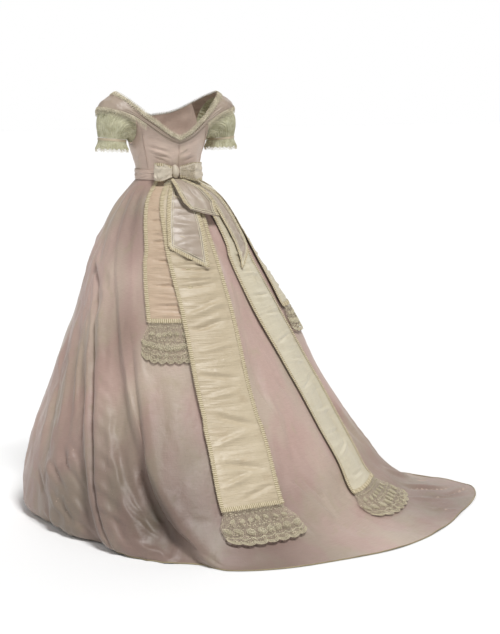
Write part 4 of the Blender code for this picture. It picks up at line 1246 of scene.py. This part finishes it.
def make_hem_braid(braid):
    """Worn braid that binds the hem."""
    hem = np.linspace(0.0, 360.0, 901)[:-1]
    path = skirt_face(hem, np.ones_like(hem))
    path[:, 2] = np.maximum(path[:, 2], FLOOR + 0.0022)
    joined("braid_hem", tubes([path], 0.0019, 5, closed=True), braid)


def linked(tree, kind, place=(), **settings):
    """Shader node with its settings, its inputs joined to sockets or set to values."""
    made = tree.nodes.new(kind)
    for name, value in settings.items():
        setattr(made, name, value)
    for name, value in place:
        if isinstance(value, bpy.types.NodeSocket):
            tree.links.new(value, made.inputs[name])
        else:
            made.inputs[name].default_value = value
    return made


def ramp(tree, factor, *stops):
    """Colours or greys blended along a factor."""
    made = linked(tree, "ShaderNodeValToRGB", [("Fac", factor)])
    while len(made.color_ramp.elements) < len(stops):
        made.color_ramp.elements.new(0.5)
    for element, (position, colour) in zip(made.color_ramp.elements, stops):
        element.position = position
        element.color = (*colour, 1.0) if hasattr(colour, "__len__") else (colour, colour, colour, 1.0)
    return made.outputs["Color"]


def uneven(tree, places, scale, detail=3.0, stretch=None, rough=0.5):
    """Smooth noise over places, stretched along an axis if asked."""
    if stretch is not None:
        places = linked(tree, "ShaderNodeMapping", [("Vector", places), ("Scale", stretch)]).outputs["Vector"]
    made = linked(tree, "ShaderNodeTexNoise",
                  [("Vector", places), ("Scale", scale), ("Detail", detail), ("Roughness", rough)])
    return made.outputs["Fac"]


def mixed(tree, factor, first, second, blend="MIX"):
    made = tree.nodes.new("ShaderNodeMix")
    made.data_type = "RGBA"
    made.blend_type = blend
    for index, value in ((0, factor), (6, first), (7, second)):
        if isinstance(value, bpy.types.NodeSocket):
            tree.links.new(value, made.inputs[index])
        else:
            made.inputs[index].default_value = value if index == 0 else (*value, 1.0)
    return made.outputs[2]


def bumped(tree, height, strength, distance, below=None):
    place = [("Height", height), ("Strength", strength), ("Distance", distance)]
    if below is not None:
        place.append(("Normal", below))
    return linked(tree, "ShaderNodeBump", place).outputs["Normal"]


def new_cloth(name):
    material = bpy.data.materials.new(name)
    material.use_nodes = True
    tree = material.node_tree
    shader = tree.nodes["Principled BSDF"]
    where = linked(tree, "ShaderNodeTexCoord").outputs["Object"]
    on_cloth = linked(tree, "ShaderNodeUVMap", uv_map="cloth").outputs["UV"]
    return material, tree, shader, where, on_cloth


def shaded(tree, where, colour, places):
    """Colour darkened by painted shade: from each place, out to its reach, down to its share."""
    for x, y, z, reach, share in places:
        away = linked(tree, "ShaderNodeVectorMath", [(0, where), (1, (x, y, z))],
                      operation="DISTANCE").outputs["Value"]
        spread = linked(tree, "ShaderNodeMath", [(0, away), (1, reach)], operation="DIVIDE").outputs[0]
        # painted shade, tinted red-brown like deep shadow
        tint = (share, share * 0.97, share * 0.92)
        shade_tint = ramp(tree, spread, (0.15, tint), (1.0, (1.0, 1.0, 1.0)))
        colour = mixed(tree, 1.0, colour, shade_tint, "MULTIPLY")
    return colour


def satin_cloth(name, deep, light, stain, rough, sheen, slub=0.35, crumple_strength=0.25, painted_shade=(),
                changing=None, rucked=0.0):
    """Aged silk satin: uneven dye, faint stains, slubs across the weave and small crumples, with painted
    shade at any places given.
    """
    material, tree, shader, where, on_cloth = new_cloth(name)
    broad = uneven(tree, where, 5.0, 4.0, (1.0, 1.0, 0.45))
    colour = ramp(tree, broad, (0.32, deep), (0.68, light))
    if changing is not None:
        bands = ramp(tree, uneven(tree, where, 8.0, 3.0, (1.0, 1.0, 0.14)), (0.44, 0.0), (0.60, 1.0))
        colour = mixed(tree, bands, colour, changing)
    spots = ramp(tree, uneven(tree, where, 17.0, 6.0, None, 0.62), (0.56, 0.0), (0.78, 1.0))
    colour = mixed(tree, spots, colour, stain)
    threads = uneven(tree, on_cloth, 1.0, 2.0, (30.0, 900.0, 1.0))
    long_threads = uneven(tree, on_cloth, 1.0, 2.0, (1100.0, 26.0, 1.0))
    shade = ramp(tree, threads, (0.30, 0.90), (0.70, 1.05))
    colour = mixed(tree, 1.0, colour, shade, "MULTIPLY")
    # painted shade: colour darkened round the places given
    colour = shaded(tree, where, colour, painted_shade)
    tree.links.new(colour, shader.inputs["Base Color"])
    worn = ramp(tree, uneven(tree, where, 9.0, 4.0), (0.30, rough - 0.05), (0.72, rough + 0.09))
    tree.links.new(worn, shader.inputs["Roughness"])
    normal = bumped(tree, uneven(tree, where, 26.0, 5.0, (1.0, 1.0, 0.6), 0.58), crumple_strength, 0.012)
    if rucked > 0.0:
        rucks = uneven(tree, on_cloth, 1.0, 3.0, (9.0, 95.0, 1.0), 0.55)
        normal = bumped(tree, rucks, rucked, 0.006, normal)
    normal = bumped(tree, threads, slub, 0.0006, normal)
    normal = bumped(tree, long_threads, slub, 0.0004, normal)
    tree.links.new(normal, shader.inputs["Normal"])
    shader.inputs["Sheen Weight"].default_value = sheen
    shader.inputs["Sheen Roughness"].default_value = 0.45
    shader.inputs["Specular IOR Level"].default_value = 0.55
    return material


def plain_cloth(name, deep, light, rough=0.85, weave=700.0, sheen=0.1):
    """Cotton lining, cord and hem braid: matte, with a visible weave."""
    material, tree, shader, where, _ = new_cloth(name)
    broad = uneven(tree, where, 14.0, 5.0)
    colour = ramp(tree, broad, (0.30, deep), (0.70, light))
    fine = uneven(tree, where, weave, 2.0)
    colour = mixed(tree, 1.0, colour, ramp(tree, fine, (0.35, 0.78), (0.65, 1.08)), "MULTIPLY")
    tree.links.new(colour, shader.inputs["Base Color"])
    normal = bumped(tree, fine, 0.5, 0.0008)
    tree.links.new(normal, shader.inputs["Normal"])
    tree.links.new(ramp(tree, broad, (0.3, rough - 0.04), (0.7, rough + 0.05)), shader.inputs["Roughness"])
    shader.inputs["Sheen Weight"].default_value = sheen
    return material


def braid_cloth(name, dark, light, pitch):
    """Ribbed braid: raised cream threads with darker gaps between them, unevenly worn."""
    material, tree, shader, where, on_cloth = new_cloth(name)
    wave = linked(tree, "ShaderNodeTexWave",
                  [("Vector", on_cloth), ("Scale", np.pi / (10.0 * pitch)), ("Distortion", 1.6),
                   ("Detail", 2.0), ("Detail Scale", 3.0)]).outputs["Fac"]
    worn = uneven(tree, where, 90.0, 4.0)
    ribs = linked(tree, "ShaderNodeMath", [(0, wave), (1, worn)], operation="MULTIPLY").outputs[0]
    tree.links.new(ramp(tree, ribs, (0.06, dark), (0.34, light)), shader.inputs["Base Color"])
    tree.links.new(bumped(tree, ribs, 0.8, 0.0012), shader.inputs["Normal"])
    tree.links.new(ramp(tree, worn, (0.3, 0.74), (0.7, 0.88)), shader.inputs["Roughness"])
    shader.inputs["Sheen Weight"].default_value = 0.1
    return material


def net_cloth(name, deep, light, mesh, sheer, rough=0.8):
    """Sheer net: fine cells between threads, the cloth below showing through."""
    material, tree, shader, where, on_cloth = new_cloth(name)
    broad = uneven(tree, where, 60.0, 4.0)
    colour = ramp(tree, broad, (0.30, deep), (0.70, light))
    cells = linked(tree, "ShaderNodeTexVoronoi", [("Vector", on_cloth), ("Scale", mesh), ("Randomness", 0.5)],
                   feature="DISTANCE_TO_EDGE").outputs["Distance"]
    threads = ramp(tree, cells, (0.05, 1.0), (0.14, sheer))
    tree.links.new(colour, shader.inputs["Base Color"])
    tree.links.new(threads, shader.inputs["Alpha"])
    tree.links.new(bumped(tree, threads, 0.5, 0.0006), shader.inputs["Normal"])
    tree.links.new(ramp(tree, broad, (0.3, rough - 0.05), (0.7, rough + 0.05)), shader.inputs["Roughness"])
    shader.inputs["Sheen Weight"].default_value = 0.15
    return material


def make_stage():
    """Pale floor, white surroundings and broad soft lights, the main one from the upper right of the view."""
    data = bpy.data.meshes.new("floor")
    low, half = FLOOR - 0.0004, STAGE_HALF
    corners = [(-half, -half, low), (half, -half, low), (half, half, low), (-half, half, low)]
    data.from_pydata(corners, [], [(0, 1, 2, 3)])
    floor = bpy.data.objects.new("floor", data)
    bpy.context.collection.objects.link(floor)
    pale = bpy.data.materials.new("pale_floor")
    pale.use_nodes = True
    shader = pale.node_tree.nodes["Principled BSDF"]
    shader.inputs["Base Color"].default_value = (0.885, 0.885, 0.885, 1.0)
    shader.inputs["Roughness"].default_value = 0.9
    shader.inputs["Specular IOR Level"].default_value = 0.1
    data.materials.append(pale)

    world = bpy.data.worlds.new("white")
    bpy.context.scene.world = world
    world.use_nodes = True
    tree = world.node_tree
    seen = linked(tree, "ShaderNodeLightPath").outputs["Is Camera Ray"]
    strength = linked(tree, "ShaderNodeMix", [(0, seen), (2, AMBIENT), (3, BACKDROP)]).outputs[0]
    background = tree.nodes["Background"]
    background.inputs["Color"].default_value = (1.0, 1.0, 1.0, 1.0)
    tree.links.new(strength, background.inputs["Strength"])

    for name, turn, high, spread, power in LIGHTS:
        way, climb = np.radians(VIEW_ANGLE + turn), np.radians(high)
        toward = np.array((np.sin(way) * np.cos(climb), -np.cos(way) * np.cos(climb), np.sin(climb)))
        light = bpy.data.lights.new(name, "SUN")
        light.angle = np.radians(spread)
        light.energy = power
        lamp = bpy.data.objects.new(name, light)
        lamp.matrix_world = looking(toward * 4.0, np.zeros(3))
        bpy.context.collection.objects.link(lamp)


def looking(place, aim):
    """Matrix of something at a place that looks at a point, its up kept upright."""
    back = unit(np.asarray(place) - np.asarray(aim))
    right = unit(np.cross((0.0, 0.0, 1.0), back))
    up = np.cross(back, right)
    matrix = np.eye(4)
    matrix[:3, 0], matrix[:3, 1], matrix[:3, 2], matrix[:3, 3] = right, up, back, place
    return Matrix(matrix.tolist())


def make_camera():
    way = np.radians(VIEW_ANGLE)
    back = np.array((np.sin(way), -np.cos(way), 0.0))
    aside = np.array((np.cos(way), np.sin(way), 0.0)) * VIEW_ASIDE
    place = back * VIEW_FAR + aside + np.array((0.0, 0.0, VIEW_HEIGHT - WAIST_HEIGHT))
    aim = aside + np.array((0.0, 0.0, VIEW_AIM - WAIST_HEIGHT))
    data = bpy.data.cameras.new("view")
    data.sensor_fit = "VERTICAL"
    data.sensor_height = 36.0
    data.lens = VIEW_LENS
    camera = bpy.data.objects.new("view", data)
    camera.matrix_world = looking(place, aim)
    bpy.context.collection.objects.link(camera)
    bpy.context.scene.camera = camera


def main():
    # the pink silk carries painted shade, in patches mostly towards the hem and in the skirt's deep folds
    pink = satin_cloth("pink_silk", (0.450, 0.308, 0.265), (0.500, 0.368, 0.315), (0.43, 0.35, 0.25),
                       0.49, 0.20, painted_shade=SKIRT_PAINTED_SHADE, changing=(0.470, 0.374, 0.300))
    rose = satin_cloth("bodice_silk", (0.54, 0.41, 0.34), (0.61, 0.485, 0.395), (0.53, 0.43, 0.33),
                       0.42, 0.12)
    cape = satin_cloth("cape_silk", (0.33, 0.255, 0.20), (0.40, 0.32, 0.25), (0.40, 0.34, 0.24), 0.44, 0.12)
    ivory = satin_cloth("ivory_silk", (0.48, 0.395, 0.27), (0.54, 0.455, 0.32), (0.45, 0.355, 0.235),
                        0.42, 0.12, rucked=0.55)
    pale = satin_cloth("pale_silk", (0.56, 0.50, 0.365), (0.63, 0.57, 0.43), (0.52, 0.45, 0.31), 0.42, 0.12,
                       rucked=0.55)
    peach = satin_cloth("peach_silk", (0.49, 0.355, 0.25), (0.53, 0.42, 0.30), (0.46, 0.35, 0.24), 0.40, 0.12,
                        rucked=0.55)
    pearl = satin_cloth("pearl_silk", (0.36, 0.29, 0.23), (0.45, 0.375, 0.30), (0.38, 0.33, 0.24), 0.42, 0.12)
    loop_silk = satin_cloth("loop_silk", (0.54, 0.47, 0.37), (0.62, 0.55, 0.44), (0.52, 0.45, 0.33),
                            0.40, 0.12)
    lining = plain_cloth("cotton_lining", (0.50, 0.37, 0.30), (0.58, 0.45, 0.37))
    trim = braid_cloth("olive_braid", (0.33, 0.265, 0.155), (0.60, 0.52, 0.36), 0.0062)
    cord = plain_cloth("cream_cord", (0.62, 0.56, 0.42), (0.72, 0.66, 0.50), 0.6)
    binding = plain_cloth("hem_braid", (0.25, 0.20, 0.12), (0.36, 0.30, 0.18), 0.8)
    worked = plain_cloth("lace_thread", (0.49, 0.43, 0.29), (0.63, 0.57, 0.41), 0.75)
    lace = net_cloth("worked_net", (0.44, 0.37, 0.26), (0.54, 0.46, 0.33), 300.0, 0.0)
    ruche = net_cloth("gathered_lace", (0.52, 0.46, 0.33), (0.72, 0.65, 0.49), 420.0, 0.25)
    tulle = net_cloth("tulle", (0.42, 0.40, 0.25), (0.64, 0.62, 0.44), 800.0, 0.60)

    make_skirt(pink, lining)
    make_waistband(rose)
    make_bodice(rose, lining)
    make_bertha(cape, lining)
    make_neck_ruche(ruche, cord)
    make_sleeves(tulle, ivory, cord)
    make_sashes(ivory, {"short_left": peach, "long_right": pale, "short_right": pale}, lace, trim, worked)
    make_knot(loop_silk)
    make_loops(loop_silk, lace, trim)
    make_low_loop(pearl, trim, cord)
    make_tails(pearl, trim, cord)
    make_tuft(ruche)
    make_hem_braid(binding)

    make_stage()
    make_camera()
    bpy.context.scene.view_settings.view_transform = "Standard"
    bpy.context.view_layer.update()


main()
